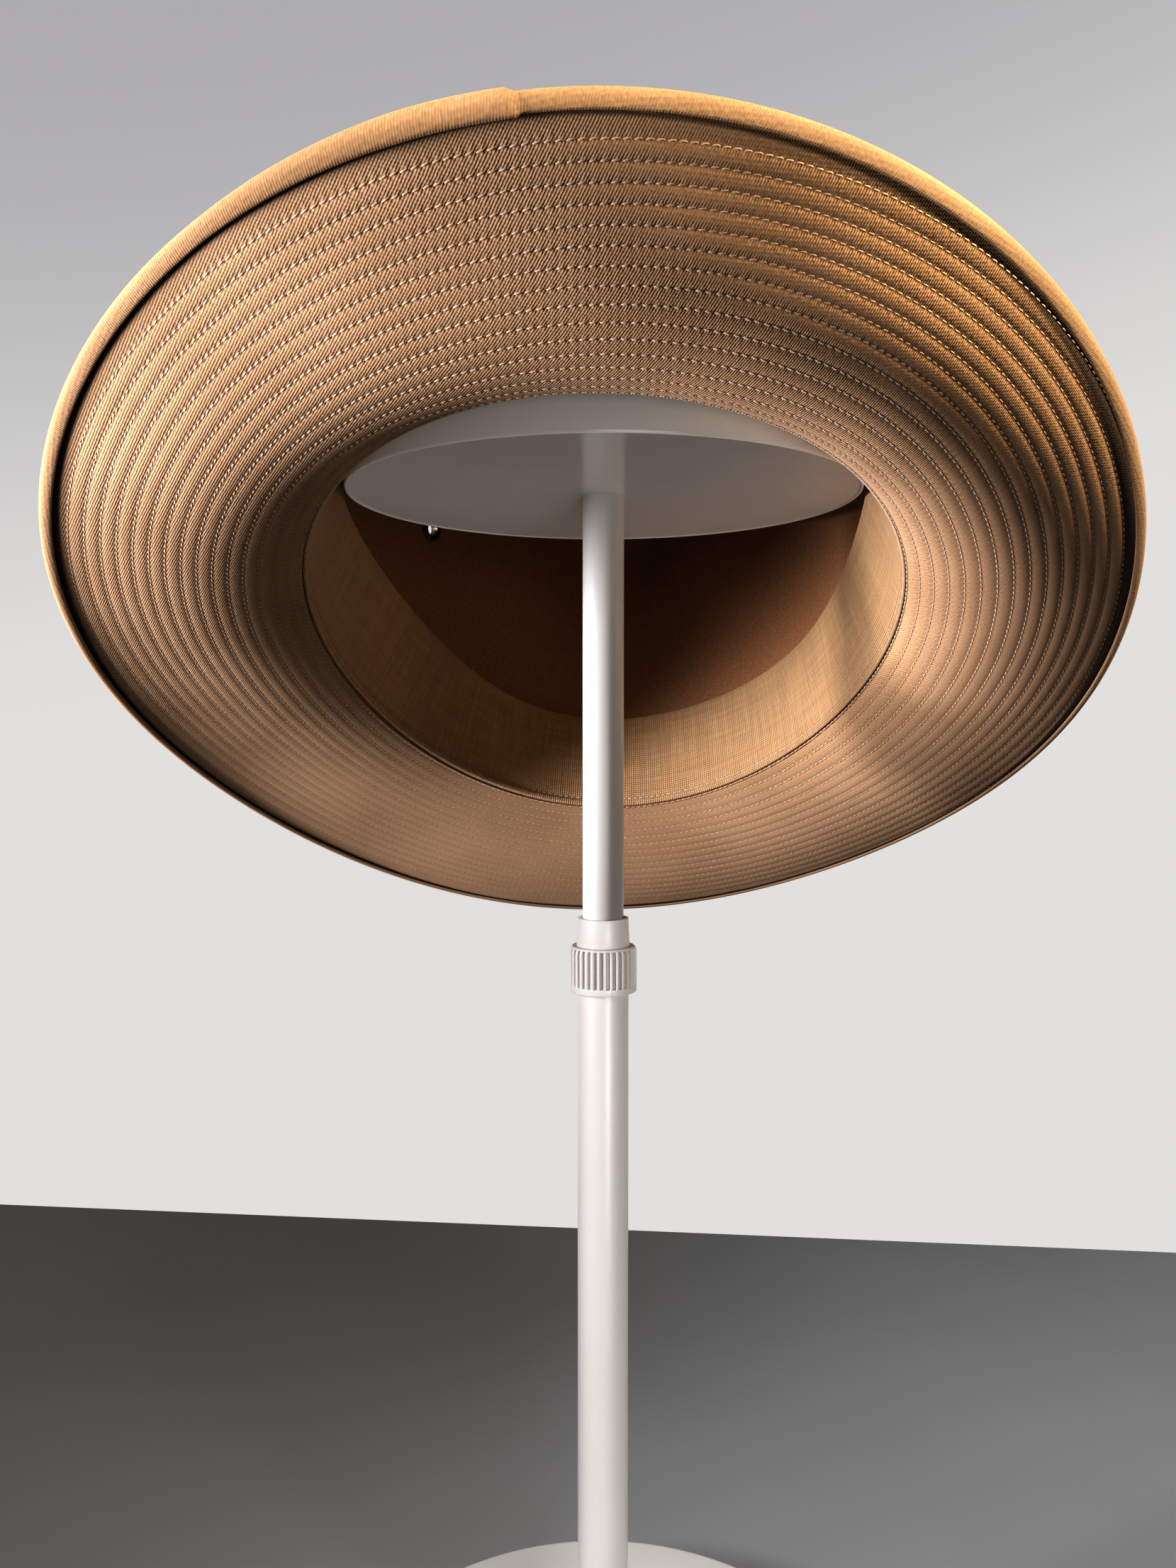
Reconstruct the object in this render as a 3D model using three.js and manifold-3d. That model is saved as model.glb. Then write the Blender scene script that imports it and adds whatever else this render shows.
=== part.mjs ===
// A tan twill fedora resting, tilted, on a white telescopic display stand.
// Millimetres, +Z up. The origin is the centre of the underside of the stand's foot.
// The back of the hat is towards -Y and its front, which hangs lower, towards +Y.

import * as THREE from 'three';
import { mergeVertices } from 'three/addons/utils/BufferGeometryUtils.js';
import Module from 'manifold-3d';

const wasm = await Module();
wasm.setup();

// Clearance between neighbouring pieces
const GAP = 0.3;

// Head opening: an oval a little wider behind than in front, its sides rising like a saddle
const HEAD_HALF_WIDTH = 84.5;
const HEAD_HALF_LENGTH = 99.5;
const HEAD_EGG = 0.02;
const HEAD_SADDLE = 4;

// Hat on the stand: the middle of the opening, and how the hat leans there
const OPENING_HEIGHT = 345.4;
const OPENING_FORWARD = 2;
const HAT_TILT = 30;
const HAT_ROLL = 1.5;
const HAT_YAW = -1;

// Cloth
const BRIM_THICKNESS = 2.2;
const BINDING_THICKNESS = 1;
const BINDING_LIP = 7;
const BINDING_SLACK = 0.5;
const CROWN_THICKNESS = 1.5;
const SWEATBAND_THICKNESS = 1;
const SWEATBAND_HEIGHT = 35;

// Crown top: how far the centre crease runs towards the front and back, and the front dents
const CREASE_REACH = 0.62;
const PINCH_DEPTH = 11;
const PINCH_FROM_FRONT = 34;
const PINCH_SPREAD = 22;
const PINCH_RISE = 0.82;
const PINCH_RISE_SPREAD = 0.27;

// Vent eyelets
const EYELET_BORE = 4.7;
const EYELET_BARREL = 6;
const EYELET_FLANGE = 9;
const EYELET_FLANGE_THICKNESS = 0.6;
const EYELET_SEAT = 0.6;
const EYELET_HOLE_LENGTH = 9;

// Stand, from the floor up
const FOOT_RADIUS = 95;
const FOOT_HEIGHT = 11.5;
const FOOT_EDGE = 4;
const LOWER_TUBE_DIAMETER = 15;
const COLLAR_BOTTOM = 242.2;
const COLLAR_HEIGHT = 14;
const COLLAR_DIAMETER = 19.7;
const COLLAR_RIM = 3;
const COLLAR_RIBS = 28;
const COLLAR_RIB_DEPTH = 0.5;
const COLLAR_CHAMFER = 0.8;
const SLEEVE_TOP = 264.4;
const SLEEVE_BOTTOM_DIAMETER = 15.7;
const SLEEVE_TOP_DIAMETER = 14.9;
const UPPER_TUBE_DIAMETER = 12;
const DRUM_BOTTOM = 386.9;
const DRUM_RADIUS = 73.6;
const DRUM_HEIGHT = 15.8;
const DRUM_RIM = 0.8;
const DRUM_EDGE = 6;

// Fineness of the faceted surfaces
const HAT_SIDES = 60;
const BRIM_STATIONS = 8;
const SWEATBAND_STATIONS = 3;
const SLOPE_STEPS = 24;
const FOOT_SIDES = 48;
const TUBE_SIDES = 24;
const EYELET_SIDES = 16;
const ARC_STEPS = 4;
const WELD = 0.0001;

// Step to either side, in radians and in shares of the height, for finding which way the wall faces
const FACING_STEP = 0.05;

// Brim sections every 45 degrees from the right side round by the front: the width over the cloth,
// and the slope in degrees where it leaves the crown, half-way out and at the edge (up is positive)
const BRIM_SECTIONS = [
  { width: 65.5, breakSlope: -45, midSlope: -3, edgeSlope: 12 }, // right
  { width: 65.5, breakSlope: -30, midSlope: -9, edgeSlope: 6 }, // front right
  { width: 64, breakSlope: -25, midSlope: -15, edgeSlope: -1 }, // front
  { width: 64.5, breakSlope: -29, midSlope: -11, edgeSlope: -17 }, // front left
  { width: 67, breakSlope: -36, midSlope: -8, edgeSlope: -13 }, // left
  { width: 66, breakSlope: -44, midSlope: 3, edgeSlope: 14 }, // back left
  { width: 63.5, breakSlope: -37, midSlope: 26, edgeSlope: 31 }, // back
  { width: 62, breakSlope: -44, midSlope: 22, edgeSlope: 31 }, // back right
];

// Sweatband every 30 degrees from the right side round by the front: how far its free edge leans in
const SWEATBAND_SECTIONS = [
  { lean: 9 }, // right
  { lean: 4.5 }, // right towards the front
  { lean: 3.2 }, // front right
  { lean: 3.5 }, // front
  { lean: 7.5 }, // front left
  { lean: 14 }, // left towards the front
  { lean: 9 }, // left
  { lean: 3 }, // left towards the back
  { lean: 2.5 }, // back left
  { lean: 3 }, // back
  { lean: 2.5 }, // back right
  { lean: 4 }, // right towards the back
];

// Crown sections every 45 degrees from the right side round by the front: heights over the opening
const CROWN_SECTIONS = [
  { ridge: 107, crease: 86 }, // right
  { ridge: 110, crease: 86 }, // front right
  { ridge: 111, crease: 93 }, // front
  { ridge: 110, crease: 86 }, // front left
  { ridge: 107, crease: 86 }, // left
  { ridge: 103, crease: 86 }, // back left
  { ridge: 100, crease: 90 }, // back
  { ridge: 103, crease: 86 }, // back right
];

// Rings of the crown from the brim up the wall to the ridge: the share of the ridge's height,
// and the share of the way in from the wall's foot to the centre crease
const WALL_RINGS = [
  { rise: 0.025, inset: 0 },
  { rise: 0.16, inset: 0.012 },
  { rise: 0.3, inset: 0.028 },
  { rise: 0.43, inset: 0.05 },
  { rise: 0.54, inset: 0.077 },
  { rise: 0.65, inset: 0.115 },
  { rise: 0.75, inset: 0.16 },
  { rise: 0.84, inset: 0.215 },
  { rise: 0.92, inset: 0.285 },
  { rise: 0.975, inset: 0.36 },
  { rise: 1, inset: 0.44 },
];

// Rings of the dent from the ridge down to the crease: the share of the drop, and of the way in
const DENT_RINGS = [
  { fall: 0.1, inset: 0.53 },
  { fall: 0.34, inset: 0.64 },
  { fall: 0.66, inset: 0.76 },
  { fall: 0.91, inset: 0.88 },
  { fall: 1, inset: 1 },
];

// Where the eyelets sit: degrees round from the right side by the front, and the share of the height
const EYELETS = [
  { name: 'eyelet_left', angle: 152, rise: 0.7 },
  { name: 'eyelet_right', angle: 22, rise: 0.75 },
];

// Finishes
const TWILL = new THREE.MeshStandardMaterial({ color: 0x8f6a3c, roughness: 0.9, metalness: 0 });
const TAPE = new THREE.MeshStandardMaterial({ color: 0x9c7437, roughness: 0.85, metalness: 0 });
const METAL = new THREE.MeshStandardMaterial({ color: 0x3b3226, roughness: 0.4, metalness: 0.9 });
const PLASTIC = new THREE.MeshStandardMaterial({ color: 0xf1efe8, roughness: 0.2, metalness: 0 });

const radians = THREE.MathUtils.degToRad;

// One column of a table of evenly spaced sections, read at any angle as a smooth closed curve
function around(sections, column, angle) {
  const half = sections.length / 2;
  let total = 0;
  sections.forEach((section, index) => {
    const apart = angle - index * Math.PI / half;
    let weight = 1 + Math.cos(half * apart);
    for (let wave = 1; wave < half; wave += 1) {
      weight += 2 * Math.cos(wave * apart);
    }
    total += section[column] * weight / sections.length;
  });
  return total;
}

// Angles of the sections that every hat piece is lofted through
function hatAngles() {
  return Array.from({ length: HAT_SIDES }, (_, side) => 2 * Math.PI * side / HAT_SIDES);
}

// A point on the seam round the head opening, and the level direction straight out from it
function seamAt(angle) {
  const c = Math.cos(angle);
  const s = Math.sin(angle);
  const narrowing = 1 - HEAD_EGG * s;
  const point = new THREE.Vector3(
    HEAD_HALF_WIDTH * c * narrowing,
    HEAD_HALF_LENGTH * s,
    HEAD_SADDLE * Math.cos(2 * angle),
  );
  const alongX = -HEAD_HALF_WIDTH * (s * narrowing + HEAD_EGG * c * c);
  const alongY = HEAD_HALF_LENGTH * c;
  const outward = new THREE.Vector3(alongY, -alongX, 0).normalize();
  return { point, outward };
}

// A point set off from the seam by a level distance outwards and a height
function offSeam(angle, out, up) {
  const { point, outward } = seamAt(angle);
  return point.addScaledVector(outward, out).add(new THREE.Vector3(0, 0, up));
}

// The brim's slope at a share of its width, as a smooth curve through the section's three slopes
function brimSlope(angle, share) {
  const inner = around(BRIM_SECTIONS, 'breakSlope', angle) * (1 - share) * (1 - 2 * share);
  const middle = around(BRIM_SECTIONS, 'midSlope', angle) * 4 * share * (1 - share);
  const outer = around(BRIM_SECTIONS, 'edgeSlope', angle) * share * (2 * share - 1);
  return radians(inner + middle + outer);
}

// A point at a distance over the brim's cloth from the seam, lifted off its underside
function brimPoint(angle, distance, lift) {
  const width = around(BRIM_SECTIONS, 'width', angle);
  const step = distance / SLOPE_STEPS;
  let out = 0;
  let up = 0;
  for (let i = 0; i < SLOPE_STEPS; i += 1) {
    const slope = brimSlope(angle, (i + 0.5) * step / width);
    out += step * Math.cos(slope);
    up += step * Math.sin(slope);
  }
  const slope = brimSlope(angle, distance / width);
  return offSeam(angle, out - lift * Math.sin(slope), up + lift * Math.cos(slope));
}

// Triangles between rows of points, each row wrapping round on itself
function rowTriangles(rows, closed) {
  const count = rows[0].length;
  const triangles = [];
  const bands = closed ? rows.length : rows.length - 1;
  for (let row = 0; row < bands; row += 1) {
    const next = (row + 1) % rows.length;
    for (let i = 0; i < count; i += 1) {
      const j = (i + 1) % count;
      const [a, b] = [row * count + i, row * count + j];
      const [c, d] = [next * count + i, next * count + j];
      triangles.push(a, b, d, a, d, c);
    }
  }
  return triangles;
}

function indexedGeometry(points, triangles) {
  const geometry = new THREE.BufferGeometry();
  geometry.setAttribute('position', new THREE.Float32BufferAttribute(points.flatMap((p) => p.toArray()), 3));
  geometry.setIndex(triangles);
  return geometry;
}

// A closed hoop lofted through closed sections round the hat, each drawn from below outwards and up
function hoop(sectionAt) {
  const rows = hatAngles().reverse().map(sectionAt);
  return indexedGeometry(rows.flat(), rowTriangles(rows, true));
}

// A cloth shell: rings from its open rim up to a closing crease, given a thickness inwards
function shell(rings, thickness) {
  const last = rings.length - 1;
  const count = rings[0].length;
  const lining = rings.map((ring, row) => ring.map((point, i) => {
    const along = ring[(i + 1) % count].clone().sub(ring[(i + count - 1) % count]);
    const upward = rings[Math.min(row + 1, last)][i].clone().sub(rings[Math.max(row - 1, 0)][i]);
    const outward = row === last ? new THREE.Vector3(0, 0, 1) : along.cross(upward).normalize();
    return point.clone().addScaledVector(outward, -thickness);
  }));
  const rows = [...lining.reverse(), ...rings];
  return indexedGeometry(rows.flat(), rowTriangles(rows, false));
}

// Points of a quarter arc that turns an edge, between two angles in degrees
function arc(x, y, radius, from, to) {
  return Array.from({ length: ARC_STEPS + 1 }, (_, step) => {
    const angle = radians(from + (to - from) * step / ARC_STEPS);
    return new THREE.Vector2(x + radius * Math.cos(angle), y + radius * Math.sin(angle));
  });
}

function lathe(profile, sides) {
  const geometry = new THREE.LatheGeometry(profile, sides);
  geometry.rotateX(Math.PI / 2);
  return geometry;
}

function solidOf(geometry) {
  const bare = geometry.clone();
  bare.deleteAttribute('normal');
  bare.deleteAttribute('uv');
  const merged = mergeVertices(bare, WELD);
  const corners = merged.index.array;
  const triVerts = [];
  for (let i = 0; i < corners.length; i += 3) {
    const [a, b, c] = corners.slice(i, i + 3);
    if (a !== b && b !== c && c !== a) {
      triVerts.push(a, b, c);
    }
  }
  const mesh = new wasm.Mesh({
    numProp: 3,
    vertProperties: new Float32Array(merged.attributes.position.array),
    triVerts: new Uint32Array(triVerts),
  });
  return new wasm.Manifold(mesh);
}

function geometryOf(solid) {
  const mesh = solid.getMesh();
  const geometry = new THREE.BufferGeometry();
  geometry.setAttribute('position', new THREE.BufferAttribute(new Float32Array(mesh.vertProperties), 3));
  geometry.setIndex(new THREE.BufferAttribute(new Uint32Array(mesh.triVerts), 1));
  return geometry;
}

function addPiece(group, name, geometry, material) {
  geometry.computeVertexNormals();
  const mesh = new THREE.Mesh(geometry, material);
  mesh.name = name;
  group.add(mesh);
  return mesh;
}

// Brim: a ring of stitched cloth from the seam to just inside the binding's fold
function brimGeometry() {
  const inner = SWEATBAND_THICKNESS + GAP;
  return hoop((angle) => {
    const outer = around(BRIM_SECTIONS, 'width', angle) - BINDING_THICKNESS - BINDING_SLACK;
    const distances = Array.from(
      { length: BRIM_STATIONS + 1 },
      (_, i) => inner + (outer - inner) * i / BRIM_STATIONS,
    );
    const underside = distances.map((distance) => brimPoint(angle, distance, 0));
    const upper = distances.reverse().map((distance) => brimPoint(angle, distance, BRIM_THICKNESS));
    return [...underside, ...upper];
  });
}

// Binding: a strip folded round the brim's edge, with a round nose and a lip on each face
function bindingGeometry() {
  const low = -BINDING_SLACK - BINDING_THICKNESS;
  const high = BRIM_THICKNESS + BINDING_SLACK + BINDING_THICKNESS;
  const nose = (high - low) / 2;
  const corner = nose * (1 - Math.SQRT1_2);
  return hoop((angle) => {
    const edge = around(BRIM_SECTIONS, 'width', angle);
    const section = [
      [edge - BINDING_LIP, low],
      [edge - nose, low],
      [edge - corner, low + corner],
      [edge, low + nose],
      [edge - corner, high - corner],
      [edge - nose, high],
      [edge - BINDING_LIP, high],
      [edge - BINDING_LIP, BRIM_THICKNESS + BINDING_SLACK],
      [edge - BINDING_THICKNESS, BRIM_THICKNESS + BINDING_SLACK],
      [edge - BINDING_THICKNESS, -BINDING_SLACK],
      [edge - BINDING_LIP, -BINDING_SLACK],
    ];
    return section.map(([distance, lift]) => brimPoint(angle, distance, lift));
  });
}

// Sweatband: a tape sewn at its lower edge to the seam, its upper edge free and leaning in
function sweatbandGeometry() {
  return hoop((angle) => {
    const lean = around(SWEATBAND_SECTIONS, 'lean', angle);
    const height = Math.sqrt(SWEATBAND_HEIGHT ** 2 - lean ** 2);
    const shares = Array.from({ length: SWEATBAND_STATIONS + 1 }, (_, i) => i / SWEATBAND_STATIONS);
    const outer = shares.map((share) => offSeam(angle, SWEATBAND_THICKNESS - lean * share, height * share));
    const inner = shares.reverse().map((share) => offSeam(angle, -lean * share, height * share));
    return [...outer, ...inner];
  });
}

// How deep the front dents press into the crown at an angle and a share of its height
function pinch(angle, rise) {
  const fromFront = Math.abs(Math.atan2(Math.cos(angle), Math.sin(angle)));
  const apart = (fromFront - radians(PINCH_FROM_FRONT)) / radians(PINCH_SPREAD);
  const over = (rise - PINCH_RISE) / PINCH_RISE_SPREAD;
  return PINCH_DEPTH * Math.exp(-apart * apart - over * over);
}

// A point of the crown's outer face on its way in to the centre crease
function crownPoint(angle, inset, height, rise) {
  const { outward } = seamAt(angle);
  const foot = offSeam(angle, SWEATBAND_THICKNESS + GAP + CROWN_THICKNESS, 0);
  const crease = new THREE.Vector3(0, CREASE_REACH * foot.y, foot.z);
  const fade = 1 - inset;
  const point = foot.lerp(crease, inset).addScaledVector(outward, -fade * pinch(angle, rise));
  point.z = point.z * fade + height;
  return point;
}

function crownRings() {
  const wall = WALL_RINGS.map(({ rise, inset }) => hatAngles().map((angle) => {
    const ridge = around(CROWN_SECTIONS, 'ridge', angle);
    return crownPoint(angle, inset, rise * ridge, rise);
  }));
  const dent = DENT_RINGS.map(({ fall, inset }) => hatAngles().map((angle) => {
    const ridge = around(CROWN_SECTIONS, 'ridge', angle);
    const crease = around(CROWN_SECTIONS, 'crease', angle);
    return crownPoint(angle, inset, ridge + fall * (crease - ridge), 1);
  }));
  return [...wall, ...dent];
}

// The crown's wall at an angle and a share of its height, between the two nearest rings
function wallPoint(angle, rise) {
  const above = WALL_RINGS.findIndex((ring) => ring.rise >= rise);
  const [low, high] = [WALL_RINGS[above - 1], WALL_RINGS[above]];
  const share = (rise - low.rise) / (high.rise - low.rise);
  const inset = THREE.MathUtils.lerp(low.inset, high.inset, share);
  return crownPoint(angle, inset, rise * around(CROWN_SECTIONS, 'ridge', angle), rise);
}

// Where an eyelet sits: its middle in the thickness of the wall, turned so that its axis points out
function eyeletSeat({ angle, rise }) {
  const turn = radians(angle);
  const along = wallPoint(turn + FACING_STEP, rise).sub(wallPoint(turn - FACING_STEP, rise));
  const upward = wallPoint(turn, rise + FACING_STEP).sub(wallPoint(turn, rise - FACING_STEP));
  const outward = along.cross(upward).normalize();
  const seat = new THREE.Object3D();
  seat.position.copy(wallPoint(turn, rise).addScaledVector(outward, -CROWN_THICKNESS / 2));
  seat.quaternion.setFromUnitVectors(new THREE.Vector3(0, 0, 1), outward);
  seat.updateMatrix();
  return seat;
}

// Eyelet: a short barrel with a flange on each face of the cloth
function eyeletGeometry() {
  const inside = EYELET_BORE / 2;
  const barrel = EYELET_BARREL / 2;
  const flange = EYELET_FLANGE / 2;
  const grip = CROWN_THICKNESS / 2 + EYELET_SEAT;
  const end = grip + EYELET_FLANGE_THICKNESS;
  const profile = [
    [inside, -end],
    [flange, -end],
    [flange, -grip],
    [barrel, -grip],
    [barrel, grip],
    [flange, grip],
    [flange, end],
    [inside, end],
    [inside, -end],
  ];
  return lathe(profile.map(([r, z]) => new THREE.Vector2(r, z)), EYELET_SIDES);
}

// Crown: the blocked shell, with a hole for each eyelet's barrel
function crownGeometry(seats) {
  let solid = solidOf(shell(crownRings(), CROWN_THICKNESS));
  for (const seat of seats) {
    const hole = new THREE.CylinderGeometry(
      EYELET_BARREL / 2 + GAP,
      EYELET_BARREL / 2 + GAP,
      EYELET_HOLE_LENGTH,
      EYELET_SIDES,
    );
    hole.rotateX(Math.PI / 2);
    hole.applyMatrix4(seat.matrix);
    solid = solid.subtract(solidOf(hole));
  }
  return geometryOf(solid);
}

// Hat: everything sewn, in its own frame with the middle of the opening at the origin
function buildHat() {
  const hat = new THREE.Group();
  hat.position.set(0, OPENING_FORWARD, OPENING_HEIGHT);
  hat.rotation.set(radians(-HAT_TILT), radians(HAT_ROLL), radians(HAT_YAW), 'XYZ');
  const seats = EYELETS.map(eyeletSeat);
  addPiece(hat, 'crown', crownGeometry(seats), TWILL);
  addPiece(hat, 'brim', brimGeometry(), TWILL);
  addPiece(hat, 'brim_binding', bindingGeometry(), TWILL);
  addPiece(hat, 'sweatband', sweatbandGeometry(), TAPE);
  EYELETS.forEach(({ name }, index) => {
    const eyelet = addPiece(hat, name, eyeletGeometry(), METAL);
    eyelet.position.copy(seats[index].position);
    eyelet.quaternion.copy(seats[index].quaternion);
  });
  return hat;
}

// Foot: a flat disc with a rounded upper edge
function footGeometry() {
  const profile = [
    new THREE.Vector2(0, 0),
    new THREE.Vector2(FOOT_RADIUS, 0),
    ...arc(FOOT_RADIUS - FOOT_EDGE, FOOT_HEIGHT - FOOT_EDGE, FOOT_EDGE, 0, 90),
    new THREE.Vector2(0, FOOT_HEIGHT),
  ];
  return lathe(profile, FOOT_SIDES);
}

// Drum: a flat underside with a fine rim, a straight wall and a rounded upper edge
function drumGeometry() {
  const profile = [
    new THREE.Vector2(0, 0),
    new THREE.Vector2(DRUM_RADIUS - DRUM_RIM, 0),
    new THREE.Vector2(DRUM_RADIUS, DRUM_RIM),
    ...arc(DRUM_RADIUS - DRUM_EDGE, DRUM_HEIGHT - DRUM_EDGE, DRUM_EDGE, 0, 90),
    new THREE.Vector2(0, DRUM_HEIGHT),
  ];
  return lathe(profile, FOOT_SIDES);
}

// Collar: upright ribs all round between a smooth lower rim and a chamfered top
function collarGeometry() {
  const tip = COLLAR_DIAMETER / 2 - COLLAR_CHAMFER;
  const outline = new THREE.Shape();
  outline.setFromPoints(Array.from({ length: 2 * COLLAR_RIBS }, (_, corner) => {
    const angle = Math.PI * corner / COLLAR_RIBS;
    const reach = corner % 2 === 0 ? tip : tip - COLLAR_RIB_DEPTH;
    return new THREE.Vector2(reach * Math.cos(angle), reach * Math.sin(angle));
  }));
  const ribs = new THREE.ExtrudeGeometry(outline, {
    depth: COLLAR_HEIGHT - 2 * COLLAR_CHAMFER,
    bevelSize: COLLAR_CHAMFER,
    bevelThickness: COLLAR_CHAMFER,
    bevelSegments: 1,
  });
  ribs.translate(0, 0, COLLAR_CHAMFER);
  const radius = COLLAR_DIAMETER / 2;
  const rim = new THREE.CylinderGeometry(radius, radius, COLLAR_RIM, 2 * COLLAR_RIBS);
  rim.rotateX(Math.PI / 2);
  rim.translate(0, 0, COLLAR_RIM / 2);
  return geometryOf(solidOf(ribs).add(solidOf(rim)));
}

function tubeGeometry(bottomDiameter, topDiameter, from, to) {
  const geometry = new THREE.CylinderGeometry(topDiameter / 2, bottomDiameter / 2, to - from, TUBE_SIDES);
  geometry.rotateX(Math.PI / 2);
  geometry.translate(0, 0, (from + to) / 2);
  return geometry;
}

// Stand: foot, two tubes joined by the collar and its sleeve, and the drum inside the crown
function buildStand() {
  const stand = new THREE.Group();
  const collarTop = COLLAR_BOTTOM + COLLAR_HEIGHT;
  const lower = tubeGeometry(
    LOWER_TUBE_DIAMETER,
    LOWER_TUBE_DIAMETER,
    FOOT_HEIGHT + GAP,
    COLLAR_BOTTOM - GAP,
  );
  const sleeve = tubeGeometry(SLEEVE_BOTTOM_DIAMETER, SLEEVE_TOP_DIAMETER, collarTop + GAP, SLEEVE_TOP);
  const upper = tubeGeometry(UPPER_TUBE_DIAMETER, UPPER_TUBE_DIAMETER, SLEEVE_TOP + GAP, DRUM_BOTTOM - GAP);
  addPiece(stand, 'stand_base', footGeometry(), PLASTIC);
  addPiece(stand, 'stand_lower_tube', lower, PLASTIC);
  addPiece(stand, 'stand_collar', collarGeometry(), PLASTIC).position.z = COLLAR_BOTTOM;
  addPiece(stand, 'stand_sleeve', sleeve, PLASTIC);
  addPiece(stand, 'stand_upper_tube', upper, PLASTIC);
  addPiece(stand, 'stand_top', drumGeometry(), PLASTIC).position.z = DRUM_BOTTOM;
  return stand;
}

const fedora = new THREE.Group();
fedora.add(buildStand());
fedora.add(buildHat());

export default fedora;
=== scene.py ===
# %% [markdown]
# # A twill fedora on its display stand
#
# This lesson dresses a imported CAD model: a tan cotton hat, seen from below and behind, on a white
# plastic stand. The CAD gives every size. Blender adds what cloth and plastic really look like:
# ribs and rows of stitching on the brim, a rolled binding, a woven sweatband, soft gloss on the stand.
# The frame is loaded first, because every new piece has to ride on it.

# %% Load the frame
import math

import bpy
import numpy as np
from mathutils import Matrix, Vector


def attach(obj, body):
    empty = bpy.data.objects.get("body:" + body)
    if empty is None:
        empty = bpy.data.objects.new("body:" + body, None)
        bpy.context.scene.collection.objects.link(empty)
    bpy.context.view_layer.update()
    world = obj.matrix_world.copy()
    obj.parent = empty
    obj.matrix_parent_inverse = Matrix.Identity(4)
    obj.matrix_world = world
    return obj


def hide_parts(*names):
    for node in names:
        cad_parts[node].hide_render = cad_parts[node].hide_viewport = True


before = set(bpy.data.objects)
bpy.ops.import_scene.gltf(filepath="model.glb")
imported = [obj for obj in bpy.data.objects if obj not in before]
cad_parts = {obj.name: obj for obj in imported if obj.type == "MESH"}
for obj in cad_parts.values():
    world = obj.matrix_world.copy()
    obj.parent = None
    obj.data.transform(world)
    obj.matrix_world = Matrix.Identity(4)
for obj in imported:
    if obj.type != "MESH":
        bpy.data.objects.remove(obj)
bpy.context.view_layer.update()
MM = 0.001
print("CAD nodes:", ", ".join(sorted(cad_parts)))

# %% [markdown]
# ## The camera
#
# The view is from just behind the hat and a little below its brim, so near that the brim fills the
# frame. A camera so close needs a wide lens. Its place and tilt were worked out from the brim's outline
# and the stand, so that the model falls on the same lines as the real hat.

# %% Camera at the photograph's angle
CAMERA_PLACE = Vector((-4.45, -344.2, 318)) * MM
CAMERA_PITCH = math.radians(-2.4)
CAMERA_LENS = 27.05
CAMERA_NEAR = 0.01

bpy.ops.object.select_all(action="DESELECT")
bpy.ops.object.camera_add(location=CAMERA_PLACE, rotation=(math.pi / 2 + CAMERA_PITCH, 0, 0))
camera = bpy.context.object
camera.name = "photo_camera"
camera.data.lens = CAMERA_LENS
camera.data.clip_start = CAMERA_NEAR
bpy.context.scene.camera = camera
print("camera lens:", camera.data.lens, "mm")

# %% [markdown]
# ## The hat's own frame
#
# A hatter thinks of the hat standing level, so its shapes are worked out that way, in millimetres, with
# the middle of the head opening at the origin. One turn and one move then put every point on the stand.
# Angles run from the wearer's right, by the front and the left, to the back.

# %% From the level hat to the hat on its stand
HAT_PLACE = np.array((0, 2, 345.4))
HAT_TURN = {"X": -30, "Y": 1.5, "Z": -1}

hat_turn = Matrix.Identity(3)
for axis, degrees in HAT_TURN.items():
    hat_turn = hat_turn @ Matrix.Rotation(math.radians(degrees), 3, axis)
hat_turn = np.array(hat_turn)


def on_stand(points):
    """Level hat points in millimetres become scene points in metres."""
    return (points @ hat_turn.T + HAT_PLACE) * MM


print("the opening's upward direction:", hat_turn[:, 2].round(3))

# %% [markdown]
# ## The head opening
#
# The opening is an oval, a little wider at the back, and its two sides ride higher than its ends, like
# a saddle. Everything else in the hat is measured from this seam. A short table of evenly spaced
# sections is read as a smooth closed curve, so a few numbers describe the whole way round.

# %% The seam round the head opening
HEAD_HALF_WIDTH = 84.5
HEAD_HALF_LENGTH = 99.5
HEAD_EGG = 0.02
HEAD_SADDLE = 4


def around(values, angle):
    """Evenly spaced values round the hat, read at any angle as a smooth closed curve."""
    count = len(values)
    half = count // 2
    apart = np.asarray(angle)[..., None] - np.arange(count) * math.tau / count
    weight = 1 + np.cos(half * apart)
    for wave in range(1, half):
        weight = weight + 2 * np.cos(wave * apart)
    return weight @ np.asarray(values, float) / count


def off_seam(angle, out, up):
    """Points set off from the seam by a level distance outwards and a height."""
    c, s = np.cos(angle), np.sin(angle)
    narrowing = 1 - HEAD_EGG * s
    along_x = -HEAD_HALF_WIDTH * (s * narrowing + HEAD_EGG * c * c)
    along_y = HEAD_HALF_LENGTH * c
    length = np.hypot(along_x, along_y)
    x = HEAD_HALF_WIDTH * c * narrowing + out * along_y / length
    y = HEAD_HALF_LENGTH * s - out * along_x / length
    z = HEAD_SADDLE * np.cos(2 * angle) + up
    return np.stack(np.broadcast_arrays(x, y, z), axis=-1)


def ring_length(ring):
    """Distance run along a closed ring of points, from its first point to each in turn."""
    steps = np.linalg.norm(np.diff(ring, axis=0), axis=1)
    return np.concatenate(([0], np.cumsum(steps)))


BACK = -math.pi / 2
TURN_STEPS = 720
full_turn = BACK + np.linspace(0, math.tau, TURN_STEPS + 1)
head_size = ring_length(off_seam(full_turn, 0, 0))[-1]
print("head size:", round(head_size), "mm round")

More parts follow.
